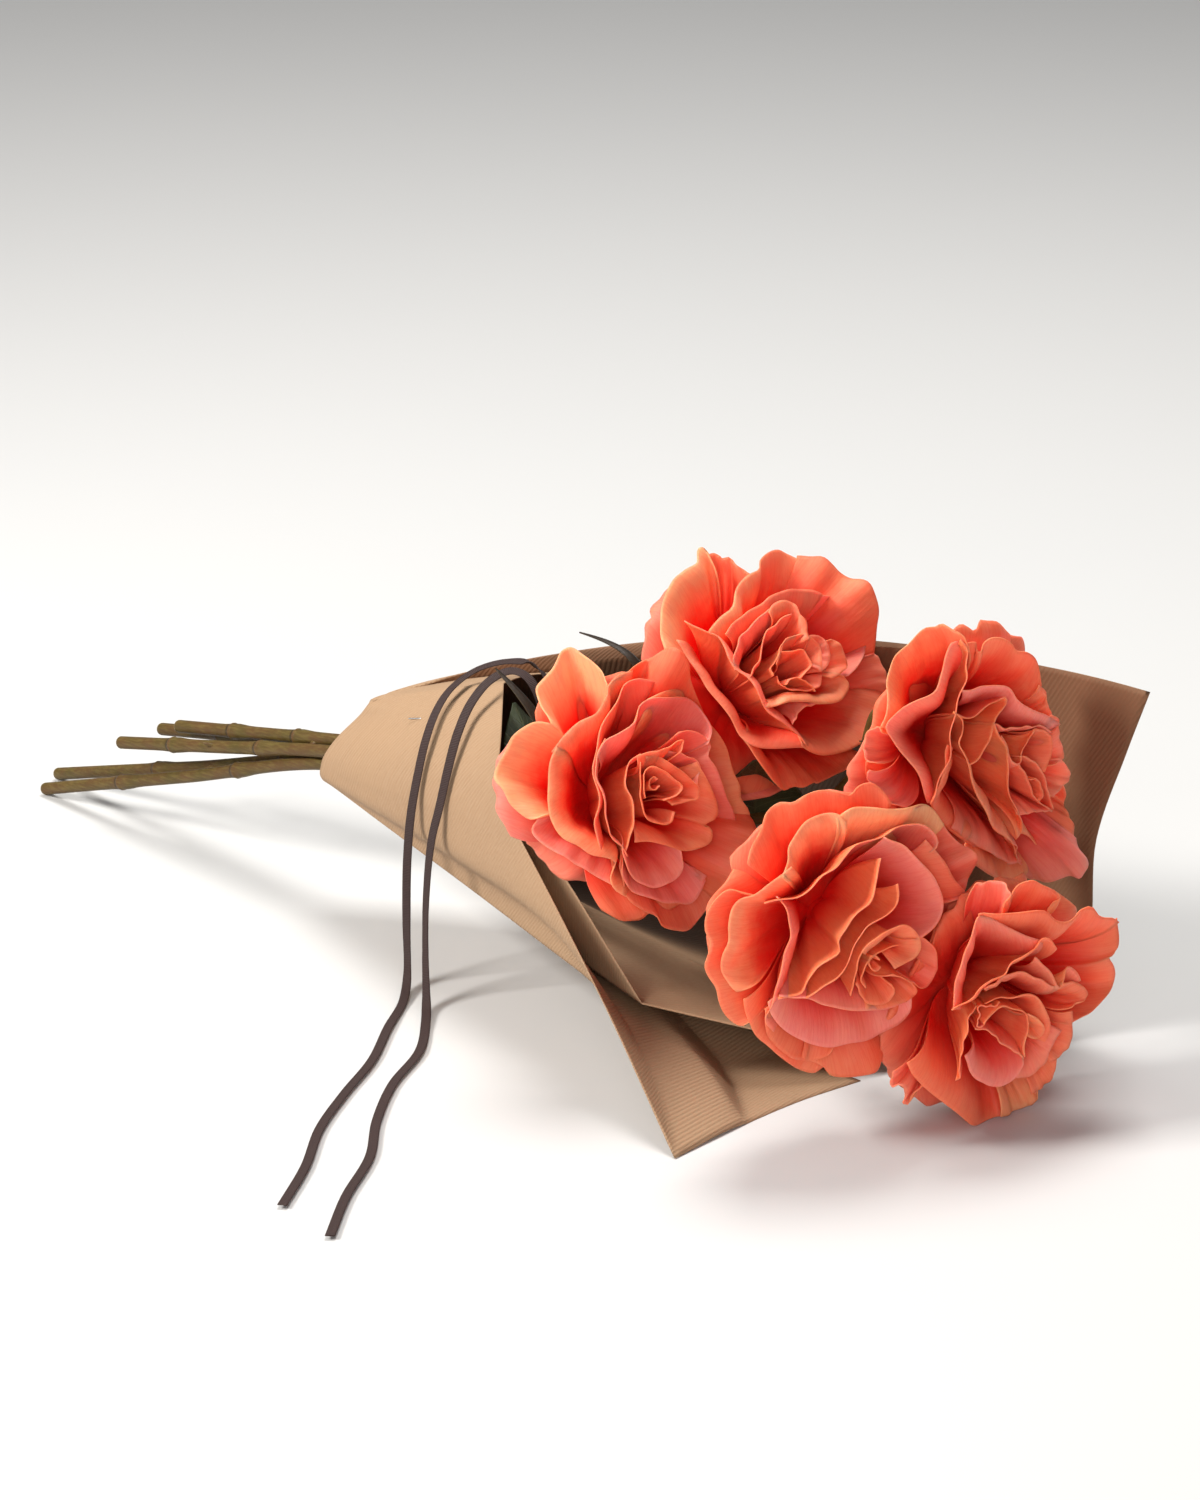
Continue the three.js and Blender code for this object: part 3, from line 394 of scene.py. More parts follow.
# Each stem's cut end, its place round the neck's ring in degrees, points on its way to the bloom,
# the x of its joints, and its thorns as x and degrees round the stem.
STEMS = {
    "rose_1": {"end": (57, 3, 42), "turn": 162,
               "way": [(275, -9, 86), (330, -11, 93), (400, -29, 105)],
               "collars": (100, 168), "thorns": [(132, 60), (300, 200)]},
    "rose_2": {"end": (96, 8, 59), "turn": 90, "way": [(275, 0, 92), (330, 0, 100), (400, 20, 122)],
               "collars": (140, 190), "thorns": [(205, 120)]},
    "rose_3": {"end": (70, 20, 48), "turn": 18,
               "way": [(330, 8, 91), (440, 25, 94), (486, 41, 100), (512, 46, 126)],
               "collars": (120,), "thorns": [(160, 300)]},
    "rose_4": {"end": (0, 0, 3), "turn": 234, "way": [(330, -7, 82), (430, -8, 77), (500, -14, 79)],
               "collars": (62, 150), "thorns": [(210, 250), (466, 120), (488, 30)]},
    "rose_5": {"end": (-12, 20, 3), "turn": 306, "way": [(330, 5, 81), (430, 9, 66), (530, 12, 54)],
               "collars": (74, 176), "thorns": [(120, 90)]},
}
# Leaves and bracts: the x where each leaves its stem, its tip, its width, its arch and its kind.
LEAVES = {
    "rose_1": [(372, (352, -14, 138), 24, 4, "leaf"), (398, (357, -32, 161), 11, 10, "bract")],
    "rose_2": [(406, (363, 20, 167), 9, 18, "bract")],
    "rose_3": [(440, (462, 72, 92), 30, 6, "leaf"), (462, (481, 11, 134), 44, 3, "leaf")],
    "rose_4": [(456, (476, -34, 62), 28, 5, "leaf"), (506, (516, 12, 112), 26, -5, "leaf")],
    "rose_5": [(500, (528, 52, 38), 28, 6, "leaf"), (546, (572, 2, 104), 40, 3, "leaf")],
}

# The kraft sheet as lines from the neck to its far edge, each with its outward bulge. On the outer
# flap a line heads for its aim, and bends away to its edge between two shares of its length. A
# spline runs through the ends of each part's lines, and each part starts at the last one's end.
PAPER_LINES = [
    [((224, -11, 80), (396, -52, 97), 0), ((222, -11, 74), (425, -60, 83), 1),
     ((221, -9, 70), (459, -66, 57), 2), ((220, -7, 67), (482, -69, 38), 4)],
    [((219.5, -2, 65.5), (530, -30, 24), 6),
     ((219.5, 3, 65), (562, 15, 5), 6), ((220, 8, 68), (585, 66, 0.4), 52),
     ((221, 11, 74), (600, 106, 36), 56), ((223, 12, 80), (598, 116, 95), 70),
     ((227, 11, 88), (610, 120, 138), 74), ((232, 8, 97), (621, 122, 171), 70)],
    [((236, 5, 104), (558, 122, 166), 62),
     ((239, 3, 107), (468, 120, 150), 40), ((241, 2, 109), (335, 95, 131), 12),
     ((243, 1, 110), (325, 62, 128), 8), ((244, 0, 110.5), (330, 18, 138), 3),
     ((244, -1, 110), (335, -3, 141), 2)],
    [((240, -4, 103), (364, -36, 133), 4),
     ((230, -11, 90), (379, -54, 117), 5), ((224, -14, 80), (391, -62, 106), 6),
     ((222, -14.5, 74), (405, -68, 99), 6), ((220, -13, 69), (447, -84, 74), 1),
     ((219, -10, 65), (496, -103, 42), 0, (496, -79, 54), (0.65, 1)),
     ((218.5, -8, 63.5), (550, -124, 0.4), 0, (550, -89, 27), (0.65, 1))],
    [((218, -5, 62.5), (549, -76, 0.4), 0, (549, -57, 18), (0.6, 1)),
     ((218, -2, 62), (551, -38, -8), 0, (551, -30, 12), (0.5, 0.857)),
     ((218, 2, 62), (557, -3, -8), 0, (557, 0, 2), (0.5, 0.857))],
]
STRAIGHT_LINE = (0.65, 1)
# The cone's axis, and how far the neck's edge is from the middle of the flat sheet's fan.
PAPER_FROM, PAPER_TO = np.array([220.0, 0.0, 77.0]), np.array([600.0, 0.0, 80.0])
NECK_REACH = 8
# The grid's rows, and its columns from line to line. The turn of the ribs on the flat sheet.
PAPER_ROWS, PAPER_STEPS = 90, 10
PAPER_RIB_TURN = 78.0
# Columns of the grid between which the painted shade on the inner side fades: where the sheet is
# low, the far end of the painted dark inside, and the painted shade of the tall corner.
LOW_SHADE_COLUMNS, DEEP_SHADE_COLUMNS, CORNER_SHADE_COLUMNS = (46, 64, 82, 98), (104, 90), (58, 76, 108, 118)

# The ribbon's loop inside the mouth, and the knot's wraps: tilt, size and shift.
TIE = {"centre": (374, -3, 93), "radius": 30.0, "knot": (373, -3, 125)}
KNOT_WRAPS = ((0.0, 3.0, -0.8), (0.9, 3.3, 0.6), (-0.8, 2.8, 0.0))
TAILS = {
    "ribbon_tail_left": [
        (366, 2, 129), (356, 8, 141), (342, 11, 148), (327, 9, 147), (314, 1, 142), (309, -11, 135),
        (312, -25, 128), (316, -37, 117), (319, -46, 102), (320, -52, 84), (320, -55, 60),
        (321, -57, 30), (326, -62, 8), (338, -77, 2), (356, -106, 2), (377, -138, 2),
        (394, -173, 2), (413, -208, 2), (437, -241, 2), (458, -276, 2),
    ],
    "ribbon_tail_right": [
        (366, -8, 129), (363, -8, 141), (355, -8, 150), (345, -9, 151), (339, -16, 147),
        (338, -28, 139), (340, -40, 127), (342, -49, 112), (342, -55, 95), (341, -60, 78),
        (341, -64, 50), (343, -67, 24), (351, -75, 6), (365, -90, 2), (386, -116, 2),
        (403, -151, 2), (426, -185, 2), (451, -215, 2), (472, -251, 2), (495, -284, 2),
    ],
}
STAPLE = {"at": (291.8, -19.4, 117.2), "length": 9.0, "down": 14.0}

# ---------------------------------------------------------------- sizes and colours


def length(name, description, default):
    return FloatProperty(name=name, description=description, default=default, unit="LENGTH")


def colour(name, description, default):
    return FloatVectorProperty(
        name=name, description=description, default=default, subtype="COLOR", size=3, min=0, max=1)


class BunchSizes(bpy.types.PropertyGroup):
    petal_thickness: length("Petal thickness", "Thickness of a petal at its middle", 0.0006)
    petal_ruffle: length("Petal ruffle", "How far the petals' rims wave", 0.001)
    petal_rows: IntProperty(name="Petal rows", description="Grid steps along a petal", default=30)
    petal_columns: IntProperty(
        name="Petal columns", description="Grid steps across a petal", default=32)
    stem_radius: length("Stem radius", "Radius between the joints", 0.0033)
    leaf_thickness: length("Leaf thickness", "Thickness of a leaf", 0.0005)
    paper_thickness: length("Paper thickness", "Thickness of the kraft sheet", 0.0005)
    paper_rib: length("Paper rib spacing", "Distance between the sheet's ribs", 0.0019)
    ribbon_width: length("Ribbon width", "Width of the woven ribbon", 0.0046)
    ribbon_thickness: length("Ribbon thickness", "Thickness of the ribbon", 0.0006)
    staple_wire: length("Staple wire", "Thickness of the staple's wire", 0.0006)


class BunchColours(bpy.types.PropertyGroup):
    petal_coral: colour("Coral", "Middle of a petal's inner face", (0.95, 0.185, 0.09))
    petal_pink: colour("Pink", "The pinker petals' faces", (0.95, 0.245, 0.205))
    # Deep red painted as shade towards each petal's foot, deep in the bloom's folds; also the real
    # colour of the veins.
    petal_fold_shade_and_veins: colour("Heart red", "Towards a petal's foot, and its veins", (0.78, 0.008, 0.006))
    petal_rim: colour("Peach rim", "Rims and rolled lips", (0.98, 0.37, 0.18))
    petal_back: colour("Back orange", "Outer face of a petal", (0.95, 0.21, 0.085))
    stem: colour("Stem", "Stems and calyxes", (0.078, 0.052, 0.012))
    stem_warm: colour("Stem blush", "Blotches and joints", (0.10, 0.046, 0.016))
    stem_streak: colour("Stem streak", "Light streaks along a stem", (0.17, 0.125, 0.035))
    stem_cut: colour("Cut end", "The stems' cut ends", (0.24, 0.18, 0.09))
    stem_groove: colour("Joint groove", "Dark line beside a joint", (0.022, 0.012, 0.005))
    leaf: colour("Leaf", "Leaves", (0.020, 0.028, 0.008))
    leaf_light: colour("Leaf blotch", "Lighter blotches on a leaf", (0.032, 0.044, 0.013))
    leaf_vein: colour("Leaf vein", "Midrib and side veins", (0.075, 0.085, 0.03))
    kraft: colour("Kraft", "Kraft paper", (0.385, 0.25, 0.15))
    kraft_dark: colour("Kraft fibre", "Fibres and ribs in the paper", (0.33, 0.195, 0.105))
    kraft_blotch: colour("Kraft blotch", "Soft blotches in the paper", (0.40, 0.25, 0.14))
    # Painted shade: the tall corner's inner side, darkened because it lies in shade.
    kraft_corner_shade: colour("Inner side", "The tall corner's inner side", (0.20, 0.098, 0.05))
    # Painted shade: near-black inside the cone towards the neck, where shade falls.
    kraft_deep_shade: colour("Deep inside", "The inner side near the neck", (0.05, 0.028, 0.016))
    ribbon: colour("Ribbon", "Woven ribbon", (0.030, 0.015, 0.013))
    ribbon_light: colour("Ribbon ribs", "Raised ribs of the weave", (0.062, 0.036, 0.032))
    wire: colour("Wire", "Staple wire", (0.72, 0.73, 0.75))
    wire_mark: colour("Wire marks", "Draw marks along the wire", (0.5, 0.51, 0.53))
    floor: colour("Floor", "Floor", (0.62, 0.615, 0.605))
    floor_blotch: colour("Floor blotch", "Faint blotches on the floor", (0.66, 0.65, 0.635))


def sizes():
    return bpy.context.scene.bunch_sizes


def colours():
    return bpy.context.scene.bunch_colours


# ---------------------------------------------------------------- meshes from arrays


def smoothstep(low, high, value):
    """0 below low, 1 above high, and a cubic ease between."""
    t = np.clip((value - low) / (high - low), 0.0, 1.0)
    return t * t * (3 - 2 * t)


def unit(vectors):
    """Each vector divided by its length."""
    return vectors / np.maximum(np.linalg.norm(vectors, axis=-1, keepdims=True), 1e-9)


def circle(count):
    """Angles at equal steps round a circle."""
    return np.linspace(0, 2 * math.pi, count, endpoint=False)


def pair(first, second):
    """Two arrays spread to one size, as the two numbers of each UV place."""
    return np.stack(np.broadcast_arrays(first, second), -1)


def smooth_line(points, count):
    """A centripetal Catmull-Rom spline: between two points the slope at each end comes from its
    neighbours, weighted by the square roots of the distances. Gives count points."""
    p = np.asarray(points, float)
    p = np.vstack([2 * p[0] - p[1], p, 2 * p[-1] - p[-2]])
    place = np.linspace(0, len(p) - 3, count)
    k = np.minimum(place.astype(int), len(p) - 4)
    w = (place - k)[:, None]
    p0, p1, p2, p3 = p[k], p[k + 1], p[k + 2], p[k + 3]
    d0, d1, d2 = (np.sqrt(np.maximum(np.linalg.norm(b - a, axis=1), 1e-8))[:, None]
                  for a, b in ((p0, p1), (p1, p2), (p2, p3)))
    start = ((p1 - p0) / d0 - (p2 - p0) / (d0 + d1) + (p2 - p1) / d1) * d1
    stop = ((p2 - p1) / d1 - (p3 - p1) / (d1 + d2) + (p3 - p2) / d2) * d1
    square = -3 * p1 + 3 * p2 - 2 * start - stop
    cube = 2 * p1 - 2 * p2 + start + stop
    return p1 + start * w + square * w * w + cube * w ** 3


def travelled(points):
    """How far along a line each of its points is."""
    return np.concatenate([[0], np.cumsum(np.linalg.norm(np.diff(points, axis=0), axis=1))])


def even_line(points, count):
    """The points of a dense line, taken again at equal distances along it."""
    along = travelled(points)
    wanted = np.linspace(0, along[-1], count)
    return np.stack([np.interp(wanted, along, points[:, k]) for k in range(3)], axis=1)


def line_length(points):
    return float(np.linalg.norm(np.diff(points, axis=0), axis=1).sum())


def softened(values, reach):
    """Each row averaged with its neighbours by a bell curve."""
    steps = np.arange(-3 * reach, 3 * reach + 1)
    bell = np.exp(-0.5 * (steps / reach) ** 2)
    padded = np.pad(values, ((3 * reach, 3 * reach), (0, 0)), mode="edge")
    return np.stack([np.convolve(padded[:, k], bell / bell.sum(), mode="valid")
                     for k in range(values.shape[1])], -1)


def grid_quads(rows, cols, wrap=False):
    """Quads of a grid of points stored row by row. With wrap, the last column joins the first."""
    i = np.arange(rows - 1)[:, None]
    j = np.arange(cols if wrap else cols - 1)[None, :]
    k = (j + 1) % cols
    corners = [i * cols + j, i * cols + k, (i + 1) * cols + k, (i + 1) * cols + j]
    return np.stack(corners, -1).reshape(-1, 4)


def grid_normals(points):
    """Cross product of the steps along the columns and along the rows, at every grid point."""
    along = np.gradient(points, axis=0)
    across = np.gradient(points, axis=1)
    return unit(np.cross(across, along))


def shell(points, thickness, uv, mask, material=0):
    """A closed blade: the grid pushed out along its normals by half the thickness on each side,
    with a strip of quads round its edge. The mask's third number is 1 on the back."""
    rows, cols = points.shape[:2]
    push = grid_normals(points) * np.asarray(thickness).reshape(
        (rows, cols, 1) if np.ndim(thickness) else (1, 1, 1)) / 2
    both = np.concatenate([(points + push).reshape(-1, 3), (points - push).reshape(-1, 3)])
    faces = grid_quads(rows, cols)
    index = np.arange(rows * cols).reshape(rows, cols)
    rim = np.concatenate([index[0, :], index[1:, -1], index[-1, -2::-1], index[-2:0:-1, 0]])
    after = np.roll(rim, -1)
    shift = rows * cols
    edge = np.stack([rim, rim + shift, after + shift, after], -1)
    masks = np.concatenate([mask.reshape(-1, 4)] * 2)
    masks[shift:, 2] = 1
    return {"points": both, "quads": np.concatenate([faces, faces[:, ::-1] + shift, edge]),
            "uv": np.concatenate([uv.reshape(-1, 2)] * 2), "mask": masks, "material": material}


def tube(rings, uv, mask=None):
    """Rings of points joined along a path, with a lid of quads across each end."""
    rows, cols = rings.shape[:2]
    low = np.arange(cols // 2 - 1)
    lid = np.stack([low, low + 1, cols - 2 - low, cols - 1 - low], -1)
    quads = np.concatenate(
        [grid_quads(rows, cols, wrap=True), lid[:, ::-1], lid + (rows - 1) * cols])
    mask = np.zeros((rows, cols, 4)) if mask is None else mask
    return {"points": rings.reshape(-1, 3), "quads": quads, "uv": uv.reshape(-1, 2),
            "mask": mask.reshape(-1, 4), "material": 0}


def outward(part):
    """Turns a part's faces over if its signed volume is negative."""
    p, q = part["points"], part["quads"]
    a, b, c, d = (p[q[:, k]] for k in range(4))
    volume = np.einsum("ij,ij->i", a, np.cross(b, c) + np.cross(c, d)).sum()
    if volume < 0:
        part["quads"] = q[:, ::-1]
    return part


def make_piece(name, parts, materials, stands_for):
    """One mesh object from closed parts, with a UV map and a four-number colour mask per point."""
    parts = [outward(part) for part in parts]
    points, uv, mask = (np.concatenate([part[key] for part in parts])
                        for key in ("points", "uv", "mask"))
    starts = np.cumsum([0] + [len(part["points"]) for part in parts[:-1]])
    quads = np.concatenate([part["quads"] + start for part, start in zip(parts, starts)])
    slots = np.concatenate([np.full(len(part["quads"]), part["material"]) for part in parts])
    mesh = bpy.data.meshes.new(name)
    mesh.vertices.add(len(points))
    mesh.vertices.foreach_set("co", ((points + ORIGIN_MM) * MM).astype(np.float32).ravel())
    mesh.loops.add(quads.size)
    mesh.loops.foreach_set("vertex_index", quads.astype(np.int32).ravel())
    mesh.polygons.add(len(quads))
    mesh.polygons.foreach_set("loop_start", np.arange(0, quads.size, 4, dtype=np.int32))
    mesh.polygons.foreach_set("material_index", slots.astype(np.int32))
    mesh.update(calc_edges=True)
    mesh.polygons.foreach_set("use_smooth", np.ones(len(quads), bool))
    layer = mesh.uv_layers.new(name="UVMap")
    layer.data.foreach_set("uv", uv[quads.ravel()].astype(np.float32).ravel())
    store = mesh.attributes.new("mask", "FLOAT_COLOR", "POINT")
    store.data.foreach_set("color", mask.astype(np.float32).ravel())
    for material in materials:
        mesh.materials.append(material)
    piece = bpy.data.objects.new(name, mesh)
    bpy.context.scene.collection.objects.link(piece)
    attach(piece, "root")
    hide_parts(*stands_for)
    return piece


# ---------------------------------------------------------------- shader groups and materials


def feed(tree, node, inputs):
    """Sets a node's inputs: a socket is linked, and a plain value is kept on the input itself."""
    for key, value in inputs.items():
        if hasattr(value, "links"):
            tree.links.new(value, node.inputs[key])
        else:
            node.inputs[key].default_value = value


def add_node(tree, kind, inputs=None, **settings):
    """A node with its settings and its inputs, each a socket or a plain value."""
    node = tree.nodes.new(kind)
    for key, value in settings.items():
        setattr(node, key, value)
    feed(tree, node, inputs or {})
    return node


def blend(tree, share, first, second):
    """A colour mix. The share is a socket or a number, and each colour a socket or a colour."""
    first, second = (c if hasattr(c, "links") else (*c, 1) for c in (first, second))
    node = add_node(tree, "ShaderNodeMix", data_type="RGBA")
    feed(tree, node, {0: share, 6: first, 7: second})
    return node.outputs[2]


def remap(tree, value, low, high, out_low=0.0, out_high=1.0):
    """A Map Range node's result: the value eased from one range into another."""
    node = add_node(tree, "ShaderNodeMapRange",
                    {0: value, 1: low, 2: high, 3: out_low, 4: out_high},
                    interpolation_type="SMOOTHSTEP")
    return node.outputs[0]


def maths(tree, operation, first, second=0.0):
    node = add_node(tree, "ShaderNodeMath", {0: first, 1: second}, operation=operation)
    return node.outputs[0]


def noise(tree, place, scale, detail, roughness=0.5, distortion=0.0):
    """A noise texture's value at a place."""
    node = add_node(tree, "ShaderNodeTexNoise", {
        "Vector": place, "Scale": scale, "Detail": detail, "Roughness": roughness,
        "Distortion": distortion})
    return node.outputs["Fac"]


def new_group(name, inputs, outputs):
    """A shader node group with a vector and the named numbers going in, and numbers coming out."""
    group = bpy.data.node_groups.new(name, "ShaderNodeTree")
    group.interface.new_socket("Vector", in_out="INPUT", socket_type="NodeSocketVector")
    for label, value in inputs.items():
        socket = group.interface.new_socket(label, in_out="INPUT", socket_type="NodeSocketFloat")
        socket.default_value = value
    for label in outputs:
        group.interface.new_socket(label, in_out="OUTPUT", socket_type="NodeSocketFloat")
    return group, group.nodes.new("NodeGroupInput").outputs, group.nodes.new("NodeGroupOutput")


def veins_group():
    """Fine lines that run along a petal or leaf and fork: stretched noise over the UV map."""
    group, inlet, outlet = new_group("Fine Veins", {"Across": 60.0, "Along": 3.0},
                                     ("Veins", "Height"))
    scale = add_node(group, "ShaderNodeCombineXYZ",
                     {0: inlet["Across"], 1: inlet["Along"], 2: 1.0})
    place = add_node(group, "ShaderNodeVectorMath", {0: inlet["Vector"], 1: scale.outputs[0]},
                     operation="MULTIPLY")
    height = noise(group, place.outputs[0], 1.0, 4.0, 0.55, 0.35)
    folded = maths(group, "ABSOLUTE", maths(group, "SUBTRACT", height, 0.5))
    feed(group, outlet, {"Veins": remap(group, folded, 0.0, 0.07, 1.0, 0.0), "Height": height})
    return group


def mottle_group():
    """Soft blotches and fine grain over object space."""
    group, inlet, outlet = new_group("Soft Mottling", {"Blotch Scale": 30.0, "Grain Scale": 600.0},
                                     ("Blotches", "Grain"))
    blotch = noise(group, inlet["Vector"], inlet["Blotch Scale"], 3.0, 0.6)
    grain = noise(group, inlet["Vector"], inlet["Grain Scale"], 2.0, 0.7)
    feed(group, outlet, {"Blotches": remap(group, blotch, 0.35, 0.65), "Grain": grain})
    return group


def shared(maker, shelf="materials"):
    """The material or node group that maker makes, made once."""
    key = "made_" + maker.__name__
    kept = getattr(bpy.data, shelf).get(bpy.context.scene.get(key, ""))
    if kept is None:
        kept = maker()
        bpy.context.scene[key] = kept.name
    return kept


def place_group(tree, maker, inputs):
    return add_node(tree, "ShaderNodeGroup", inputs, node_tree=shared(maker, "node_groups")).outputs


def object_place(tree):
    return add_node(tree, "ShaderNodeTexCoord").outputs["Object"]


def uv_place(tree):
    return add_node(tree, "ShaderNodeUVMap", uv_map="UVMap").outputs[0]


def mottling(tree, blotch_scale, grain_scale):
    """The blotches and the grain of the mottling group, on Object coordinates."""
    made = place_group(tree, mottle_group, {
        "Vector": object_place(tree), "Blotch Scale": blotch_scale, "Grain Scale": grain_scale})
    return made["Blotches"], made["Grain"]


def stretched(tree, place, along):
    """A place whose first number is scaled, so that a pattern stretches that way."""
    node = add_node(tree, "ShaderNodeMapping", {"Vector": place, "Scale": (along, 1.0, 1.0)})
    return node.outputs[0]


def mask_parts(tree):
    """The four numbers of the mask that make_piece stores."""
    store = add_node(tree, "ShaderNodeAttribute", attribute_name="mask")
    parts = add_node(tree, "ShaderNodeSeparateColor", {"Color": store.outputs["Color"]})
    return (*(parts.outputs[k] for k in range(3)), store.outputs["Alpha"])


def new_material(name, roughness=0.5):
    """A material with one Principled shader. Returns the material, its tree and its shader."""
    material = bpy.data.materials.new(name)
    material.use_nodes = True
    tree = material.node_tree
    shader = tree.nodes["Principled BSDF"]
    shader.inputs["Roughness"].default_value = roughness
    return material, tree, shader


def bump(tree, shader, height, distance, strength):
    node = add_node(tree, "ShaderNodeBump",
                    {"Height": height, "Strength": strength, "Distance": distance})
    feed(tree, shader, {"Normal": node.outputs["Normal"]})


def petal_material():
    """Coral petals: deep red painted towards the foot as shade in the bloom's folds, coral or pink
    on the face, peach at the rim, orange behind.
    """
    c = colours()
    material, tree, shader = new_material("Velvet Coral Petal")
    tone, edge, back, heart = mask_parts(tree)
    veins = place_group(tree, veins_group,
                        {"Vector": uv_place(tree), "Across": 26.0, "Along": 2.4})
    blotches, grain = mottling(tree, 45.0, 2600.0)
    face = blend(tree, tone, c.petal_coral, c.petal_pink)
    # Painted shade: faces and backs turn deep red towards the foot, where the bloom's folds lie in
    # shade.
    face = blend(tree, remap(tree, heart, -0.05, 0.58), face, c.petal_fold_shade_and_veins)
    behind = blend(tree, remap(tree, heart, 0.1, 0.8), c.petal_back, c.petal_fold_shade_and_veins)
    both = blend(tree, back, face, behind)
    wavy = maths(tree, "ADD", edge, maths(tree, "MULTIPLY", blotches, 0.22))
    rimmed = blend(tree, remap(tree, wavy, 0.30, 1.15), both, c.petal_rim)
    patchy = blend(tree, maths(tree, "MULTIPLY", blotches, 0.08), rimmed, c.petal_rim)
    lined = blend(tree, maths(tree, "MULTIPLY", veins["Veins"], 0.14), patchy, c.petal_fold_shade_and_veins)
    feed(tree, shader, {
        "Base Color": lined, "Roughness": remap(tree, grain, 0.3, 0.7, 0.46, 0.6),
        "Subsurface Weight": 0.45, "Subsurface Radius": (1.0, 0.32, 0.18),
        "Subsurface Scale": 0.0035, "Specular IOR Level": 0.22})
    height = maths(tree, "ADD", veins["Height"], maths(tree, "MULTIPLY", grain, 0.12))
    bump(tree, shader, height, 0.0007, 0.5)
    return material


def stem_material():
    """Olive rose canes: lengthwise streaks, a warm blush on the joints, slightly waxy."""
    c = colours()
    material, tree, shader = new_material("Olive Rose Cane")
    streaks = noise(tree, stretched(tree, object_place(tree), 0.12), 900.0, 3.0, 0.6)
    blotches, grain = mottling(tree, 60.0, 1800.0)
    ring, cut, groove, _ = mask_parts(tree)
    warm = maths(tree, "MAXIMUM", maths(tree, "MULTIPLY", blotches, 0.75), ring)
    base = blend(tree, warm, c.stem, c.stem_warm)
    streaked = blend(tree, remap(tree, streaks, 0.4, 0.7, 0.0, 0.45), base, c.stem_streak)
    ringed = blend(tree, groove, blend(tree, cut, streaked, c.stem_cut), c.stem_groove)
    feed(tree, shader, {
        "Base Color": ringed, "Roughness": remap(tree, grain, 0.3, 0.7, 0.36, 0.56),
        "Specular IOR Level": 0.22})
    bump(tree, shader, streaks, 0.0005, 0.5)
    return material


def leaf_material():
    """Dark green leaves: a midrib and side veins drawn on the UV map, waxy between them."""
    c = colours()
    material, tree, shader = new_material("Dark Rose Leaf")
    place = add_node(tree, "ShaderNodeSeparateXYZ", {0: uv_place(tree)}).outputs
    across = maths(tree, "ABSOLUTE", maths(tree, "SUBTRACT", place[0], 0.5))
    slanted = maths(tree, "SUBTRACT", place[1], maths(tree, "MULTIPLY", across, 0.55))
    wave = maths(tree, "SINE", maths(tree, "MULTIPLY", slanted, 62.0))
    midrib = remap(tree, across, 0.0, 0.035, 1.0, 0.0)
    veins = maths(tree, "MAXIMUM", remap(tree, wave, 0.86, 1.0), midrib)
    blotches, grain = mottling(tree, 90.0, 2200.0)
    base = blend(tree, blotches, c.leaf, c.leaf_light)
    feed(tree, shader, {
        "Base Color": blend(tree, maths(tree, "MULTIPLY", veins, 0.6), base, c.leaf_vein),
        "Roughness": remap(tree, grain, 0.3, 0.7, 0.36, 0.5)})
    bump(tree, shader, maths(tree, "SUBTRACT", grain, veins), 0.0004, 0.6)
    return material


def paper_material():
    """Ribbed kraft paper: fine parallel ribs in the flat sheet, fibres and soft blotches. Shade is
    painted on the inner side: darker in the tall corner, and darkest deep inside."""
    c = colours()
    material, tree, shader = new_material("Ribbed Kraft Paper")
    turned = add_node(tree, "ShaderNodeMapping", {
        "Vector": uv_place(tree), "Rotation": (0, 0, math.radians(PAPER_RIB_TURN))}).outputs[0]
    place = add_node(tree, "ShaderNodeSeparateXYZ", {0: turned}).outputs
    phase = maths(tree, "MULTIPLY", place[1], 2 * math.pi / sizes().paper_rib)
    ribs = maths(tree, "SINE", phase)
    fibre = noise(tree, stretched(tree, turned, 0.25), 1400.0, 4.0, 0.65)
    blotches, _ = mottling(tree, 16.0, 1500.0)
    tint = maths(tree, "ADD", remap(tree, ribs, -1.0, 1.0, 0.0, 0.36),
                 remap(tree, fibre, 0.35, 0.7, 0.0, 0.45))
    base = blend(tree, tint, c.kraft, c.kraft_dark)
    soft = blend(tree, maths(tree, "MULTIPLY", blotches, 0.25), base, c.kraft_blotch)
    deep, corner, inner, _ = mask_parts(tree)
    # Painted shade on the inner side: darker in the tall corner, and near-black deep in the cone,
    # where shade falls.
    shaded = blend(tree, maths(tree, "MULTIPLY", inner, corner), soft, c.kraft_corner_shade)
    feed(tree, shader, {
        "Base Color": blend(tree, maths(tree, "MULTIPLY", inner, deep), shaded, c.kraft_deep_shade),
        "Roughness": remap(tree, fibre, 0.3, 0.7, 0.7, 0.88), "Specular IOR Level": 0.3})
    height = maths(tree, "ADD", maths(tree, "MULTIPLY", ribs, 0.35), fibre)
    bump(tree, shader, height, 0.00035, 0.6)
    return material


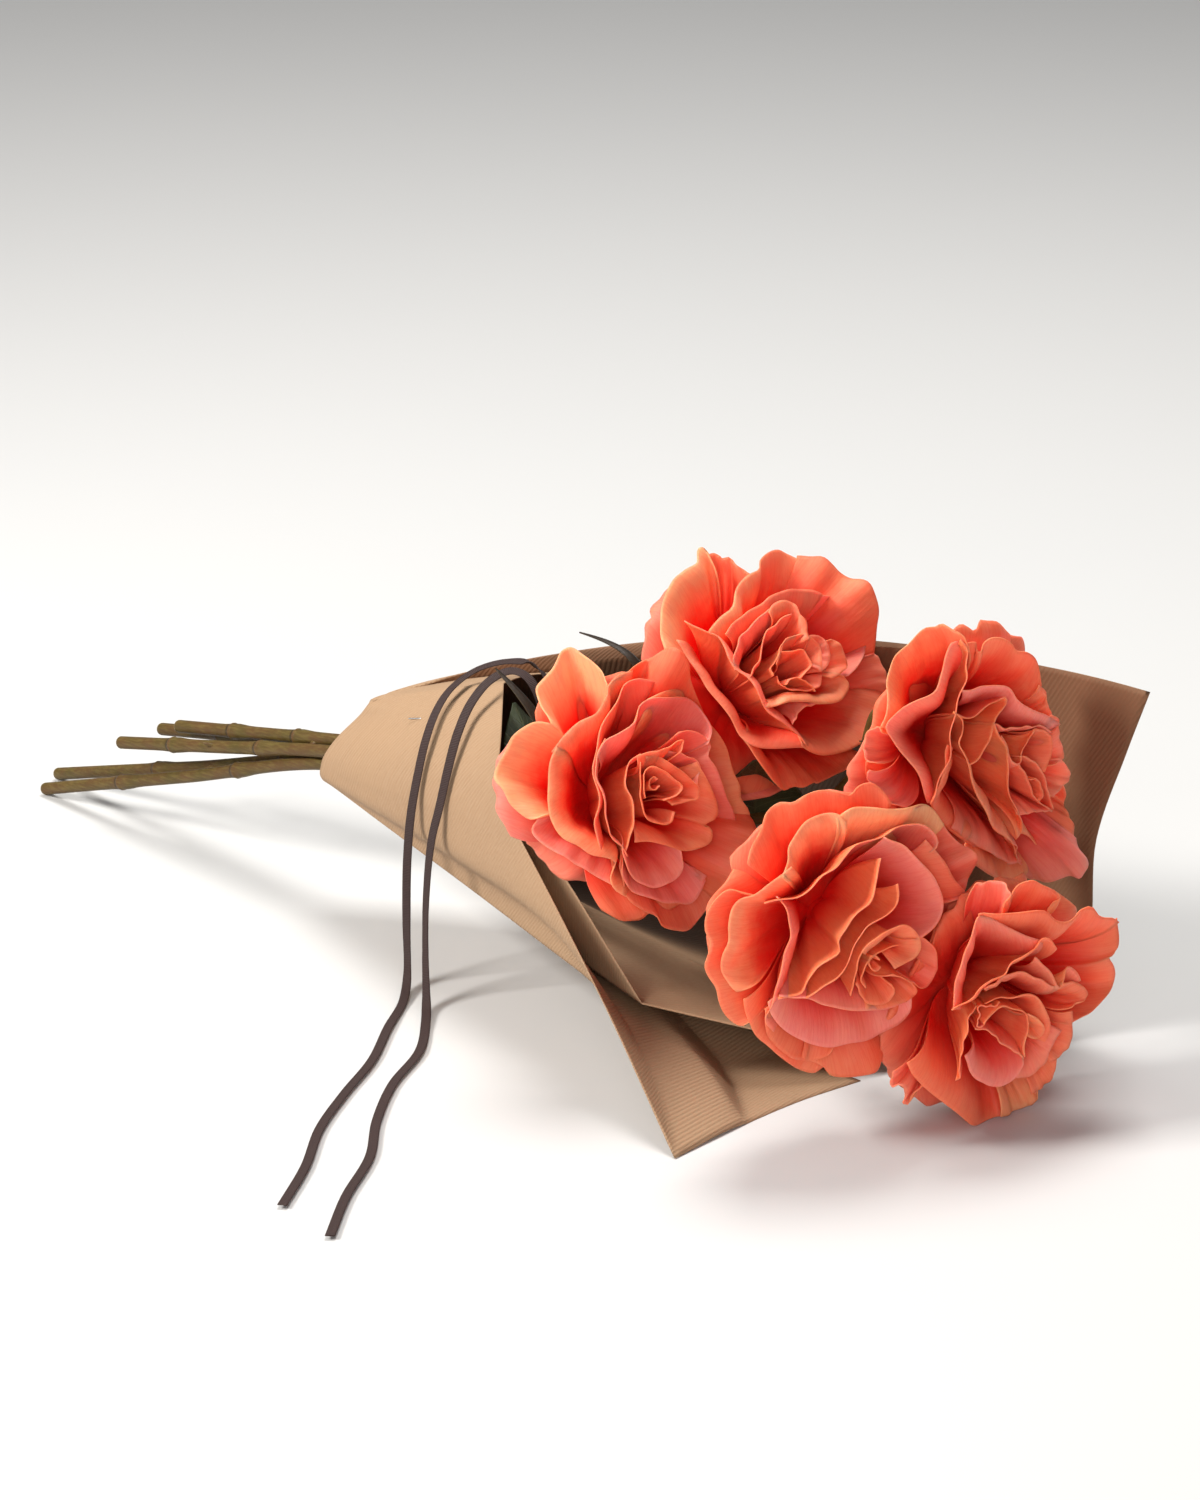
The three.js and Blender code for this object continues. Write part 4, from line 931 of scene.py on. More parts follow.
def ribbon_material():
    """Woven ribbon: cross ribs and a firm selvedge, both drawn on the UV map in millimetres."""
    rib_spacing, warp_threads = 0.8, 9
    c = colours()
    material, tree, shader = new_material("Woven Mauve Ribbon")
    place = add_node(tree, "ShaderNodeSeparateXYZ", {0: uv_place(tree)}).outputs
    ribs = maths(tree, "SINE", maths(tree, "MULTIPLY", place[1], 2 * math.pi / rib_spacing))
    warp = maths(tree, "SINE", maths(tree, "MULTIPLY", place[0], 2 * math.pi * warp_threads))
    middle = maths(tree, "ABSOLUTE", maths(tree, "SUBTRACT", place[0], 0.5))
    selvedge = remap(tree, middle, 0.40, 0.44)
    weave = maths(tree, "ADD", maths(tree, "MULTIPLY", ribs, 0.4),
                  maths(tree, "MULTIPLY", warp, 0.15))
    _, grain = mottling(tree, 80.0, 3000.0)
    lit = maths(tree, "MULTIPLY", remap(tree, weave, -0.4, 0.5, 0.0, 0.8),
                remap(tree, grain, 0.3, 0.7, 0.7, 1.0))
    base = blend(tree, lit, c.ribbon, c.ribbon_light)
    feed(tree, shader, {
        "Base Color": blend(tree, maths(tree, "MULTIPLY", selvedge, 0.6), base, c.ribbon),
        "Roughness": remap(tree, weave, -0.5, 0.5, 0.66, 0.48), "Specular IOR Level": 0.25})
    bump(tree, shader, maths(tree, "ADD", weave, selvedge), 0.00025, 0.7)
    return material


def wire_material():
    """Bright staple wire with fine draw marks along it."""
    c = colours()
    material, tree, shader = new_material("Bright Staple Wire")
    marks = noise(tree, stretched(tree, object_place(tree), 0.1), 5000.0, 2.0)
    feed(tree, shader, {
        "Base Color": blend(tree, remap(tree, marks, 0.35, 0.65), c.wire, c.wire_mark),
        "Roughness": remap(tree, marks, 0.35, 0.65, 0.22, 0.4), "Metallic": 1.0})
    return material


def floor_material():
    """A pale matt floor with the faintest mottling."""
    c = colours()
    material, tree, shader = new_material("Pale Floor", 0.75)
    blotches, _ = mottling(tree, 3.0, 200.0)
    faint = maths(tree, "MULTIPLY", blotches, 0.06)
    feed(tree, shader, {"Base Color": blend(tree, faint, c.floor, c.floor_blotch)})
    return material


# ---------------------------------------------------------------- blooms


def bloom_frame(name):
    """The bloom's axis from its heading and pitch, the level direction across it, and its base."""
    bloom = BLOOMS[name]
    heading, pitch = math.radians(bloom["heading"]), math.radians(bloom["pitch"])
    axis = np.array([math.cos(pitch) * math.cos(heading), math.cos(pitch) * math.sin(heading),
                     math.sin(pitch)])
    across = math.radians(ACROSS_HEADING)
    level = np.array([math.cos(across), math.sin(across), 0.0])
    right = unit(level - axis * (level @ axis))
    base = np.array(bloom["centre"], float) - axis * BLOOM_DISC
    return {"axis": axis, "right": right, "up": np.cross(axis, right), "base": base,
            "drop": bloom["drop"], "reach": bloom["reach"]}


def in_bloom(place, x, y, z):
    """Points of a bloom's own x, y and z, which lie along its right, up and axis."""
    return (place["base"] + np.asarray(x)[..., None] * place["right"]
            + np.asarray(y)[..., None] * place["up"] + np.asarray(z)[..., None] * place["axis"])


def turned_rings(place, profile, rows, count):
    """A profile of heights and radii, turned about the bloom's axis as rows of rings."""
    z = np.linspace(profile[0][0], profile[-1][0], rows)[:, None]
    r = np.interp(z, *zip(*profile))
    turn = circle(count)[None, :]
    rings = in_bloom(place, r * np.cos(turn), r * np.sin(turn), z + 0 * turn)
    return rings, turn, z


def middle_line(petal, share):
    """Radius, height and lean of a petal's middle line at a share of its length: a cubic Bezier
    from its foot to its shoulder, then an arc of a circle whose lean grows by the curl."""
    reach, rise = petal["reach"], petal["rise"]
    foot_r, foot_z, low_rise = 3.0, 4.0, 14
    lean0 = math.radians(85 - (rise - low_rise) * 0.9)
    lean1 = math.radians(95 - (rise - low_rise) * 2.3)
    span = math.hypot(reach - foot_r, rise - foot_z)
    pull = 0.38 * span
    body = 1 - RULED_LIP / (1.08 * span + RULED_LIP)
    r = np.array([foot_r, foot_r + pull * math.sin(lean0), reach - pull * math.sin(lean1), reach])
    z = np.array([foot_z, foot_z + pull * math.cos(lean0), rise - pull * math.cos(lean1), rise])
    t = np.clip(share / body, 0, 1)[..., None]
    weights = np.concatenate([(1 - t) ** 3, 3 * t * (1 - t) ** 2, 3 * t * t * (1 - t), t ** 3], -1)
    slopes = np.concatenate([(1 - t) ** 2, 2 * t * (1 - t), t * t], -1)
    radius, height = weights @ r, weights @ z
    lean = np.arctan2(slopes @ np.diff(r), slopes @ np.diff(z))
    past = np.clip((share - body) / (1 - body), 0, 1.6)
    curl = math.radians(RULED_CURL)
    rolled = lean1 + curl * past
    bend = RULED_LIP / curl
    over = share > body
    radius = np.where(over, reach + bend * (math.cos(lean1) - np.cos(rolled)), radius)
    height = np.where(over, rise + bend * (np.sin(rolled) - math.sin(lean1)), height)
    return radius, height, np.where(over, rolled, lean)


def petal_surface(place, petal, u, v, ruffle):
    """A petal over u across and v along. It follows its middle line, hugs the bloom's axis as an
    arc of a circle across, rolls its sides back with the square of u, and waves at its rim."""
    a, b, c = petal["phases"]
    side = np.abs(u)
    rim_wave = 0.5 * np.sin(3.1 * u + a) + 0.3 * np.sin(7.3 * u + b) + 0.2 * np.sin(13 * u + c)
    notch = petal["notch"] * np.exp(-((u - petal["notch_at"]) / 0.16) ** 2)
    share = v * (1 - 0.24 * side ** 2.6 - notch + petal["scallop"] * rim_wave)
    r, z, lean = middle_line(petal, share)
    half = petal["width"] / 2 * (0.14 + 0.86 * np.sin(0.62 * math.pi * v ** 0.95))
    s = u * half
    bend = RULED_HUG * (0.25 + 0.75 * np.maximum(0, np.cos(lean))) / np.maximum(r, 7)
    sideways = np.sin(bend * s) / bend
    roll_back = petal["roll_back"] * petal["width"] * np.clip((side - 0.45) / 0.55, 0, 1) ** 2 * v
    edge = smoothstep(0.35, 1.0, v) * (0.35 + 0.65 * side)
    waves = edge * ruffle * (np.sin(5.3 * u + a + 2.0 * v) + 0.6 * np.sin(9.7 * u + b - 3 * v))
    pleats = 0.30 * smoothstep(0.1, 0.6, v) * np.sin(15 * u + c + 1.5 * np.sin(4 * v + a))
    crease = petal["crease"] * v * np.exp(-(u / 0.2) ** 2)
    inward = (1 - np.cos(bend * s)) / bend - roll_back + waves + pleats - crease
    turn = math.radians(petal["turn"]) + math.radians(petal["skew"]) * v
    radial = r - np.cos(lean) * inward
    height = z + np.sin(lean) * inward
    return in_bloom(place, radial * np.cos(turn) - sideways * np.sin(turn),
                    radial * np.sin(turn) + sideways * np.cos(turn), height)


def view_back():
    """The direction from the view's target to its eye."""
    turn, lift = math.radians(VIEW["turn"]), math.radians(VIEW["lift"])
    return np.array([math.sin(turn) * math.cos(lift), -math.cos(turn) * math.cos(lift),
                     math.sin(lift)])


def sight_lines(pixels):
    """The view's eye, and the direction in which it sees each pixel."""
    back, turn = view_back(), math.radians(VIEW["turn"])
    right = np.array([math.cos(turn), math.sin(turn), 0.0])
    up = np.cross(back, right)
    focal = VIEW["lens"] / VIEW["sensor"] * VIEW["frame"][1]
    across = (pixels - np.array(VIEW["frame"]) / 2) / focal
    return (np.array(VIEW["target"]) + back * VIEW["distance"],
            -back + across[:, :1] * right - across[:, 1:] * up)


def rim_on_dome(place, pixels, lift):
    """Where the lines of sight come nearest to the bloom's dome, a paraboloid about its axis, moved
    by the lift, without going out past the bloom's reach. Each line is tried at every level, and
    the levels found are softened along the rim."""
    lowest, highest, step, past_reach_cost = 10.0, 70.5, 0.5, 2.5
    eye, sight = sight_lines(pixels)
    height = (eye - place["base"]) @ place["axis"]
    slope = sight @ place["axis"]

    def at_level(level):
        local = eye + sight * ((level - height) / slope)[..., None] - place["base"]
        return local @ place["right"], local @ place["up"]

    levels = np.arange(lowest, highest, step)[:, None] + 0 * slope
    radius = np.hypot(*at_level(levels))
    dome = DOME_TOP - place["drop"] * (radius / DOME_REACH) ** 2 + lift
    cost = np.abs(levels - dome) + past_reach_cost * np.maximum(radius - place["reach"], 0)
    level = levels[np.argmin(cost, axis=0), 0]
    level = softened(level[:, None], max(2, len(level) // 14))[:, 0]
    return np.stack([*at_level(level), level], -1)


def drawn_petal(place, spec, rng, rows, cols, ruffle):
    """A petal under a drawn rim. Each column is a cubic Bezier from a narrow foot to its rim point:
    it sets out 30 degrees flatter than its chord and arrives at the rim's own lean, which points
    away from the axis, or across the rim where the rim is near it. Ripples grow to the rim."""
    foot_radius, foot_height, foot_spread = 4.0, 5.0, 0.10
    start_pull, end_pull, turned_pull = 0.36, 0.34, 0.14
    lift, lean, tone, rim = spec
    line = even_line(smooth_line([(x, y, 0) for x, y in rim], cols * 3), cols)[:, :2]
    end = rim_on_dome(place, line, lift)
    flat, blur = end[:, :2], max(2, cols // 12)
    u = np.linspace(-1, 1, cols)
    radius = np.hypot(end[:, 0], end[:, 1])
    radial = flat / np.maximum(radius, 1e-6)[:, None]
    along_rim = softened(np.gradient(flat, axis=0), blur)
    across = unit(np.stack([along_rim[:, 1], -along_rim[:, 0]], -1))
    if np.sum(across * radial) < 0:
        across = -across
    share = smoothstep(6, 24, radius)[:, None]
    out = unit(softened(radial * share + across * (1 - share), blur))
    middle = flat[cols // 2]
    foot = unit(middle) * foot_radius + foot_spread * (flat - middle)
    a, b, c = rng.uniform(0, 6.28, 3)
    tilt = math.radians(lean) + math.radians(5) * np.sin(2.6 * u + a)
    chord = flat - foot
    reach, rise = np.linalg.norm(chord, axis=1), end[:, 2] - foot_height
    span = np.hypot(reach, rise)
    lean0 = np.minimum(np.arctan2(reach, rise) + math.radians(30), math.radians(88))
    pull0 = (start_pull * span)[:, None]
    pull1 = ((end_pull - turned_pull * smoothstep(85, 115, lean)) * span)[:, None]
    p0 = np.column_stack([foot, np.full(cols, foot_height)])
    p1 = p0 + pull0 * np.column_stack([unit(chord) * np.sin(lean0)[:, None], np.cos(lean0)])
    p2 = end - pull1 * np.column_stack([out * np.sin(tilt)[:, None], np.cos(tilt)])
    v = (np.linspace(0.0, 1, rows) ** 0.85)[:, None, None]
    body = (1 - v) ** 3 * p0 + 3 * v * (1 - v) ** 2 * p1 + 3 * v * v * (1 - v) * p2 + v ** 3 * end
    v = v[..., 0]
    size = np.clip(radius.mean() / 34, 0.15, 1.0)
    ripples = 0.6 * np.sin(6.1 * u + a + 2 * v) + 0.4 * np.sin(13 * u + b - 3 * v)
    wave = smoothstep(0.35, 1.0, v) * ripples
    pleat = smoothstep(0.15, 0.7, v) * np.sin(19 * u + c + 1.5 * np.sin(4 * v + a))
    body = body + grid_normals(body) * (size * (ruffle * wave + 0.12 * pleat))[..., None]
    points = in_bloom(place, body[..., 0], body[..., 1], body[..., 2])
    inward = place["base"] + 90 * place["axis"] - points
    if np.einsum("ijk,ijk->", grid_normals(points), inward) < 0:
        points = points[:, ::-1]
    side, along = np.broadcast_arrays(np.abs(u), v)
    return points, side, along, tone, (a, b), line_length(end)


def bloom_walls(name):
    """Planes between this bloom and its neighbours, its own planes from the list, and the floor,
    each with the gap that petals keep from it and the margin in which they start to give way."""
    gap, margin, floor_margin = 0.55, 9.0, 7.0
    centre = np.array(BLOOMS[name]["centre"], float)
    walls = []
    for other, bloom in BLOOMS.items():
        if other != name:
            there = np.array(bloom["centre"], float)
            walls.append(((centre + there) / 2, centre - there, gap - OVERLAP, margin - OVERLAP))
    walls += [(np.array(p, float), np.array(n, float), gap, margin) for p, n in KEEP_CLEAR[name]]
    walls.append((np.zeros(3), np.array([0, 0, 1.0]), gap, floor_margin))
    return walls


def ease_into(points, walls):
    """Moves points nearer to a wall than its margin back along its normal. The depth left falls
    off exponentially from the margin to the gap, so a petal flattens and never crosses."""
    for through, normal, gap, margin in walls:
        n = normal / np.linalg.norm(normal)
        depth = (points - through) @ n
        eased = gap + (margin - gap) * np.exp((np.minimum(depth, margin) - margin) / (margin - gap))
        points = points + np.where(depth < margin, eased - depth, 0.0)[..., None] * n
    return points


def ruled_petals(name, rng):
    """The numbers of the petals behind the drawn ones, with small differences between them."""
    return [{
        "turn": turn, "reach": rim - 0.7 * RULED_LIP, "rise": rise, "width": width,
        "notch": rng.uniform(0, 0.07), "notch_at": rng.uniform(-0.35, 0.35),
        "scallop": rng.uniform(0.012, 0.03), "roll_back": rng.uniform(0.07, 0.13),
        "crease": rng.uniform(-0.6, 1.4), "skew": rng.uniform(-5, 5),
        "phases": rng.uniform(0, 6.28, 3), "tone": rng.uniform(-0.4, 0.8),
        "ruffle": rng.uniform(0.6, 1.3)} for turn, rim, rise, width in BACK_PETALS[name]]


def ruled_petal(place, petal, rows, cols, ruffle):
    """A petal worked out from its numbers alone, on the same kind of grid as a drawn one."""
    v = np.linspace(0.02, 1, rows)[:, None] ** 0.9
    u = np.sin(np.linspace(-1, 1, cols) * math.pi / 2 * 0.92)[None, :]
    u = u / np.abs(u).max()
    points = petal_surface(place, petal, u, v, ruffle * petal["ruffle"])[:, ::-1]
    points = points - BEHIND * v[..., None] * (in_bloom(place, 0, 0, 1) - in_bloom(place, 0, 0, 0))
    side, along = np.broadcast_arrays(np.abs(u), v)
    return points, side, along, petal["tone"], petal["phases"][:2], petal["width"]


def petal_part(made, walls, thickness):
    """One petal's closed blade, thinner towards its rim, with the mask that the material reads."""
    rim_share, side_share, peach_share, uv_width = 0.24, 0.10, 1.15, 60
    points, side, along, tone, shift, width = made
    rows, cols = side.shape
    points = ease_into(points, walls)
    edge = np.maximum(rim_share * smoothstep(0.4, 1.0, along),
                      side_share * smoothstep(0.75, 1.0, side) * along)
    mask = np.zeros((rows, cols, 4))
    mask[..., 0] = max(tone, 0)
    mask[..., 1] = np.maximum(edge, peach_share * max(-tone, 0) * smoothstep(0.25, 0.85, along))
    # The fourth number grows towards the foot, where the material paints deep red shade.
    mask[..., 3] = 1 - along
    across = np.linspace(-0.5, 0.5, cols)[None, :] * (0.3 + 0.7 * along) * width / uv_width
    uv = np.stack([across + shift[0], along + shift[1]], -1)
    return shell(points, thickness * (1 - 0.55 * edge), uv, mask)


def core_part(place):
    """The receptacle: a smooth turned profile under the petals' feet."""
    rings, turn, z = turned_rings(place, CORE_PROFILE, 14, 16)
    mask = np.zeros((*rings.shape[:2], 4))
    # The receptacle lies deep in the bloom and takes nearly the full painted red shade.
    mask[..., 3] = 0.8
    return tube(rings, pair(turn, z / CORE_PROFILE[-1][0]), mask)


# ---------------------------------------------------------------- stems and leaves


def stem_line(name):
    """The stem's middle line: from its cut end through its place in the neck to its calyx."""
    stem, place = STEMS[name], bloom_frame(name)
    turn = math.radians(stem["turn"])
    neck = NECK + NECK_RING * np.array([0, math.cos(turn), math.sin(turn)])
    end = np.array(stem["end"], float)
    behind = [in_bloom(place, 0, 0, ahead - CALYX_LENGTH) for ahead in (-14, 2)]
    points = [end, (end + neck) / 2, neck, *stem["way"], *behind]
    return even_line(smooth_line(points, DENSE_POINTS), STEM_POINTS)


def cross_frames(line):
    """Unit tangents, and two unit vectors across them, the first nearest to straight up."""
    tangent = unit(np.gradient(line, axis=0))
    up = unit(np.array([0, 0, 1.0]) - tangent * tangent[:, 2:3])
    return tangent, up, np.cross(tangent, up)


def round_rings(line, girth, first, second, count):
    """Circles of the girth about a line, in the plane of two unit vectors at each point."""
    turn = circle(count)[None, :, None]
    rings = line[:, None] + girth * (np.cos(turn) * first[:, None] + np.sin(turn) * second[:, None])
    return rings, pair(turn[..., 0], line[:, :1])


def stem_parts(name):
    """The cane: a tube whose radius swells at each joint, with a sharp ring and a dark groove in
    front of it, and its thorns."""
    swell_size, ring_size, end_taper, lowest = 0.22, 0.14, 0.93, 0.02
    stem, radius = STEMS[name], sizes().stem_radius / MM
    line = stem_line(name)
    frames = cross_frames(line)
    swell, ring, groove = np.zeros((3, len(line)))
    for x in stem["collars"]:
        away = line[:, 0] - x
        swell += swell_size * np.exp(-((away - 3) / 7) ** 2)
        ring += ring_size * np.exp(-(away / 0.9) ** 2)
        groove += np.exp(-((away + 1.8) / 0.8) ** 2)
    girth = radius * (1 + swell + ring)
    girth[0] *= end_taper
    rings, uv = round_rings(line, girth[:, None, None], frames[1], frames[2], 16)
    rings[..., 2] = np.maximum(rings[..., 2], lowest)
    mask = np.zeros((*rings.shape[:2], 4))
    mask[..., 0] = np.clip(ring * 8, 0, 1)[:, None]
    mask[:1, :, 1] = 0.9
    mask[..., 2] = np.clip(groove * 0.9, 0, 1)[:, None]
    return [tube(rings, uv, mask)] + [
        thorn_part(line, frames, x, math.radians(turn), radius) for x, turn in stem["thorns"]]


def thorn_part(line, frames, x, turn, radius):
    """A thorn: rings that shrink as the 0.8th power of what is left, and bend towards the foot."""
    length, bend, foot_size, tip_size = 5.2, 2.2, 2.0, 0.06
    at = int(np.argmin(np.abs(line[:, 0] - x)))
    tangent, up, side = (way[at] for way in frames)
    out = math.cos(turn) * up + math.sin(turn) * side
    t = np.linspace(0, 1, 7)[:, None, None]
    w = circle(8)[None, :, None]
    centre = line[at] + out * (radius * 0.7 + length * t) - tangent * bend * t ** 2
    size = foot_size * (1 - t) ** 0.8 + tip_size
    rings = centre + size * (np.cos(w) * tangent * 1.3 + np.sin(w) * np.cross(out, tangent) * 0.7)
    mask = np.zeros((*rings.shape[:2], 4))
    mask[..., 0] = np.linspace(0.3, 1, len(mask))[:, None]
    return tube(rings, pair(w[..., 0], t[..., 0]), mask)


def leaf_part(root, tip, width, arch, kind, seed):
    """A leaf or bract: half widths from a sine of the length, toothed edges, folded along the
    midrib, arched along its length, with a small twist."""
    rng = np.random.default_rng(seed)
    broad = kind == "leaf"
    length = np.linalg.norm(tip - root)
    along = (tip - root) / length
    across = unit(np.cross([0, 0, 1.0], along))
    over = np.cross(along, across)
    rows, cols = (44, 18) if broad else (30, 8)
    t = np.linspace(0, 1, rows)[:, None]
    u = np.linspace(-1, 1, cols)[None, :]
    half = width / 2 * (0.08 + 0.92 * np.sin(math.pi * t ** 0.8) * (1 - 0.15 * t))
    if broad:
        half = half * (1 + 0.05 * (1 - np.mod(t * LEAF_TEETH, 1.0)) * np.abs(u) ** 4)
    waves = 0.5 * np.abs(u) * np.sin(9 * t + rng.uniform(0, 6) + 1.2 * np.sign(u))
    fold = -0.16 * width * np.abs(u) ** 1.3 * np.sin(math.pi * np.clip(t, 0.05, 1))
    twist = 0.25 * np.sin(math.pi * t) * rng.uniform(-1, 1)
    lift = arch * np.sin(math.pi * t) + fold + waves * broad + twist * u * half
    points = (root + t[..., None] * length * along + (u * half)[..., None] * across
              + lift[..., None] * over)
    mask = np.zeros((rows, cols, 4))
    mask[..., 0] = 0 if broad else 0.6 * t ** 2
    return shell(points, sizes().leaf_thickness / MM, pair(u / 2 + 0.5, t), mask, int(broad))


def calyx_parts(name):
    """The hip behind a bloom, a turned profile, and five narrow sepals that bend back from it."""
    place = bloom_frame(name)
    rng = np.random.default_rng(len(name) + int(name[-1]))
    rings, turn, z = turned_rings(place, HIP_PROFILE, 14, 20)
    parts = [tube(rings, pair(turn, z))]
    for k in range(SEPALS):
        spin = math.radians(36 + 360 / SEPALS * k)
        root, tip = (in_bloom(place, away * math.cos(spin), away * math.sin(spin), z)
                     for away, z in ((4, -5), (26, -17)))
        parts.append(leaf_part(root, tip, 7.5, -2 + rng.uniform(-1, 1), "sepal", 10 * k))
    return parts


# ---------------------------------------------------------------- paper, ribbon and staple


def paper_surface(rows, steps):
    """The sheet as a ruled surface: splines through the lines' ends and aims, straight lines from
    neck to aim that add the square of the bent share times the step from aim to edge, pushed
    outward by twice the bulge times q(1-q), where q goes from neck to edge. Also its flat form: the
    angle between neighbouring lines adds up round the neck."""
    necks, edges, aims, rest = [], [], [], []
    for part, lines in enumerate(PAPER_LINES):
        first = min(part, 1)
        lines = PAPER_LINES[part - 1][-1:] * first + lines
        count = (len(lines) - 1) * steps + 1
        full = [line if len(line) == 5 else (*line, line[1], STRAIGHT_LINE) for line in lines]
        for points, k in ((necks, 0), (edges, 1), (aims, 3)):
            points.append(smooth_line([line[k] for line in full], count)[first:])
        place = np.linspace(0, len(full) - 1, count)
        rest.append(np.stack([np.interp(place, range(len(full)), column) for column in zip(
            *[(line[2], *line[4]) for line in full])], -1)[first:])
    neck, edge, aim, rest = (np.concatenate(part) for part in (necks, edges, aims, rest))
    bulge, start, stop = rest.T
    q = np.linspace(0, 1, rows)[:, None, None]
    bent = np.clip((q - start[:, None]) / (stop - start)[:, None], 0, 1) ** 2
    points = neck + (aim - neck) * q + (edge - aim) * bent
    axis = unit(PAPER_TO - PAPER_FROM)
    offset = points - PAPER_FROM
    out = offset - (offset @ axis)[..., None] * axis
    out[..., 0] = 0
    points = points + unit(out) * 2 * bulge[None, :, None] * q * (1 - q)
    heading = unit(edge - neck)
    between = np.arccos(np.clip(np.einsum("ij,ij->i", heading[1:], heading[:-1]), -1, 1))
    angle = np.concatenate([[0], np.cumsum(between)])
    reach = NECK_REACH + np.linalg.norm(edge - neck, axis=1)[None, :] * q[..., 0]
    flat = np.stack([reach * np.cos(angle), reach * np.sin(angle)], -1)
    return points, flat, angle


def crumple(points, flat, angle):
    """Soft creases: pinch pleats that fade away from the neck, and long shallow dents."""
    q = np.linspace(0, 1, len(points))[:, None]
    x, y = flat[..., 0], flat[..., 1]
    pleats = 0.7 * np.exp(-q / 0.16) * (1 - np.exp(-q / 0.02)) * np.sin(angle[None, :] * 21)
    dents = (0.8 * np.sin(x * 0.021 + 1.3 * np.sin(y * 0.013)) * np.sin(y * 0.017 + 0.6)
             * smoothstep(0.1, 0.5, q))
    return points + grid_normals(points) * (pleats + dents * 0.6)[..., None]


def paper_shade_mask(rows, cols):
    """The share of painted shade deep inside the cone, further out where the sheet is low, and the
    share of painted shade in the tall corner. Both fade between columns of the grid."""
    share, column = np.linspace(0, 1, rows)[:, None], np.arange(cols)[None, :]
    mask = np.zeros((rows, cols, 4))
    low_a, low_b, low_c, low_d = LOW_SHADE_COLUMNS
    low = smoothstep(low_a, low_b, column) * smoothstep(low_d, low_c, column)
    mask[..., 0] = (smoothstep(0.42 + 0.48 * low, 0.2 + 0.4 * low, share)
                    * smoothstep(*DEEP_SHADE_COLUMNS, column))
    corner_a, corner_b, corner_c, corner_d = CORNER_SHADE_COLUMNS
    mask[..., 1] = smoothstep(corner_a, corner_b, column) * smoothstep(corner_d, corner_c, column)
    return mask


def ribbon_part(line, normal, width, thickness):
    """A flat woven band: at each point of the line a rounded box of twelve corners, its long side
    across the line and its thin side along the normal."""
    tangent = unit(np.gradient(line, axis=0))
    normal = unit(normal - tangent * np.einsum("ij,ij->i", normal, tangent)[:, None])
    across = np.cross(tangent, normal)
    x = np.array([-1, -0.88, -0.45, 0, 0.45, 0.88, 1, 0.88, 0.45, 0, -0.45, -0.88]) * width / 2
    y = np.array([0, 0.5, 0.42, 0.36, 0.42, 0.5, 0, -0.5, -0.42, -0.36, -0.42, -0.5]) * thickness
    rings = line[:, None] + x[:, None] * across[:, None] + y[:, None] * normal[:, None]
    return tube(rings, pair((x / width + 0.5)[None, :], travelled(line)[:, None]))


def tail_line(name):
    return even_line(smooth_line(TAILS[name], DENSE_POINTS), TAIL_POINTS)


def tail_normal(line, phase):
    """Which way a tail's face points: square to its own path and to the wrap's long axis, upward
    inside the mouth, and turned a little to and fro where it hangs."""
    tangent = unit(np.gradient(line, axis=0))
    inside = smoothstep(335, 360, line[:, 0])[:, None] * smoothstep(100, 125, line[:, 2])[:, None]
    way = (np.cross(tangent, np.array([1.0, 0, 0])) * (1 - inside)
           + np.array([0.3, -0.2, 0.9]) * inside)
    side = np.cross(tangent, unit(way))
    hanging = smoothstep(6, 40, line[:, 2])[:, None]
    sway = 0.3 * np.sin(np.linspace(0, 9, len(line)) + phase)[:, None] * hanging
    return unit(way) + side * sway


def knot_parts(at, width, thick):
    """Three short wraps of band, each an oval ring that is tilted about the upright."""
    parts = []
    turn = circle(39)
    for tilt, size, shift in KNOT_WRAPS:
        ring = np.stack(
            [shift + 0.6 * np.sin(turn), size * np.sin(turn), size * 0.8 * np.cos(turn)], -1)
        spin = np.array([[math.cos(tilt), -math.sin(tilt), 0],
                         [math.sin(tilt), math.cos(tilt), 0], [0, 0, 1]])
        ring = ring @ spin.T
        parts.append(ribbon_part(at + ring, ring, width * 0.9, thick))
    return parts


def staple_part(wire):
    """A bent wire: a straight crown with two short legs turned into the paper."""
    at, half = np.array(STAPLE["at"], float), STAPLE["length"] / 2 - 0.4
    down, leg, corner = math.radians(STAPLE["down"]), 0.7, 0.8
    way = np.array([math.cos(down), 0, math.sin(down)])
    into = unit(np.array([0.0, 0.8, -0.5])) * leg
    corners = [at - way * half + into, at - way * half, at - way * (half - corner),
               at + way * (half - corner), at + way * half, at + way * half + into]
    line = even_line(smooth_line(corners, 200), 48)
    tangent = unit(np.gradient(line, axis=0))
    first = unit(np.cross(tangent, np.array([0.2, 1.0, 0.4])))
    return tube(*round_rings(line, wire / 2, first, np.cross(tangent, first), 10))


# ---------------------------------------------------------------- operators


def look_along(direction):
    """The rotation of a lamp or camera that looks along a direction."""
    return Vector(direction).to_track_quat("-Z", "Y").to_euler()


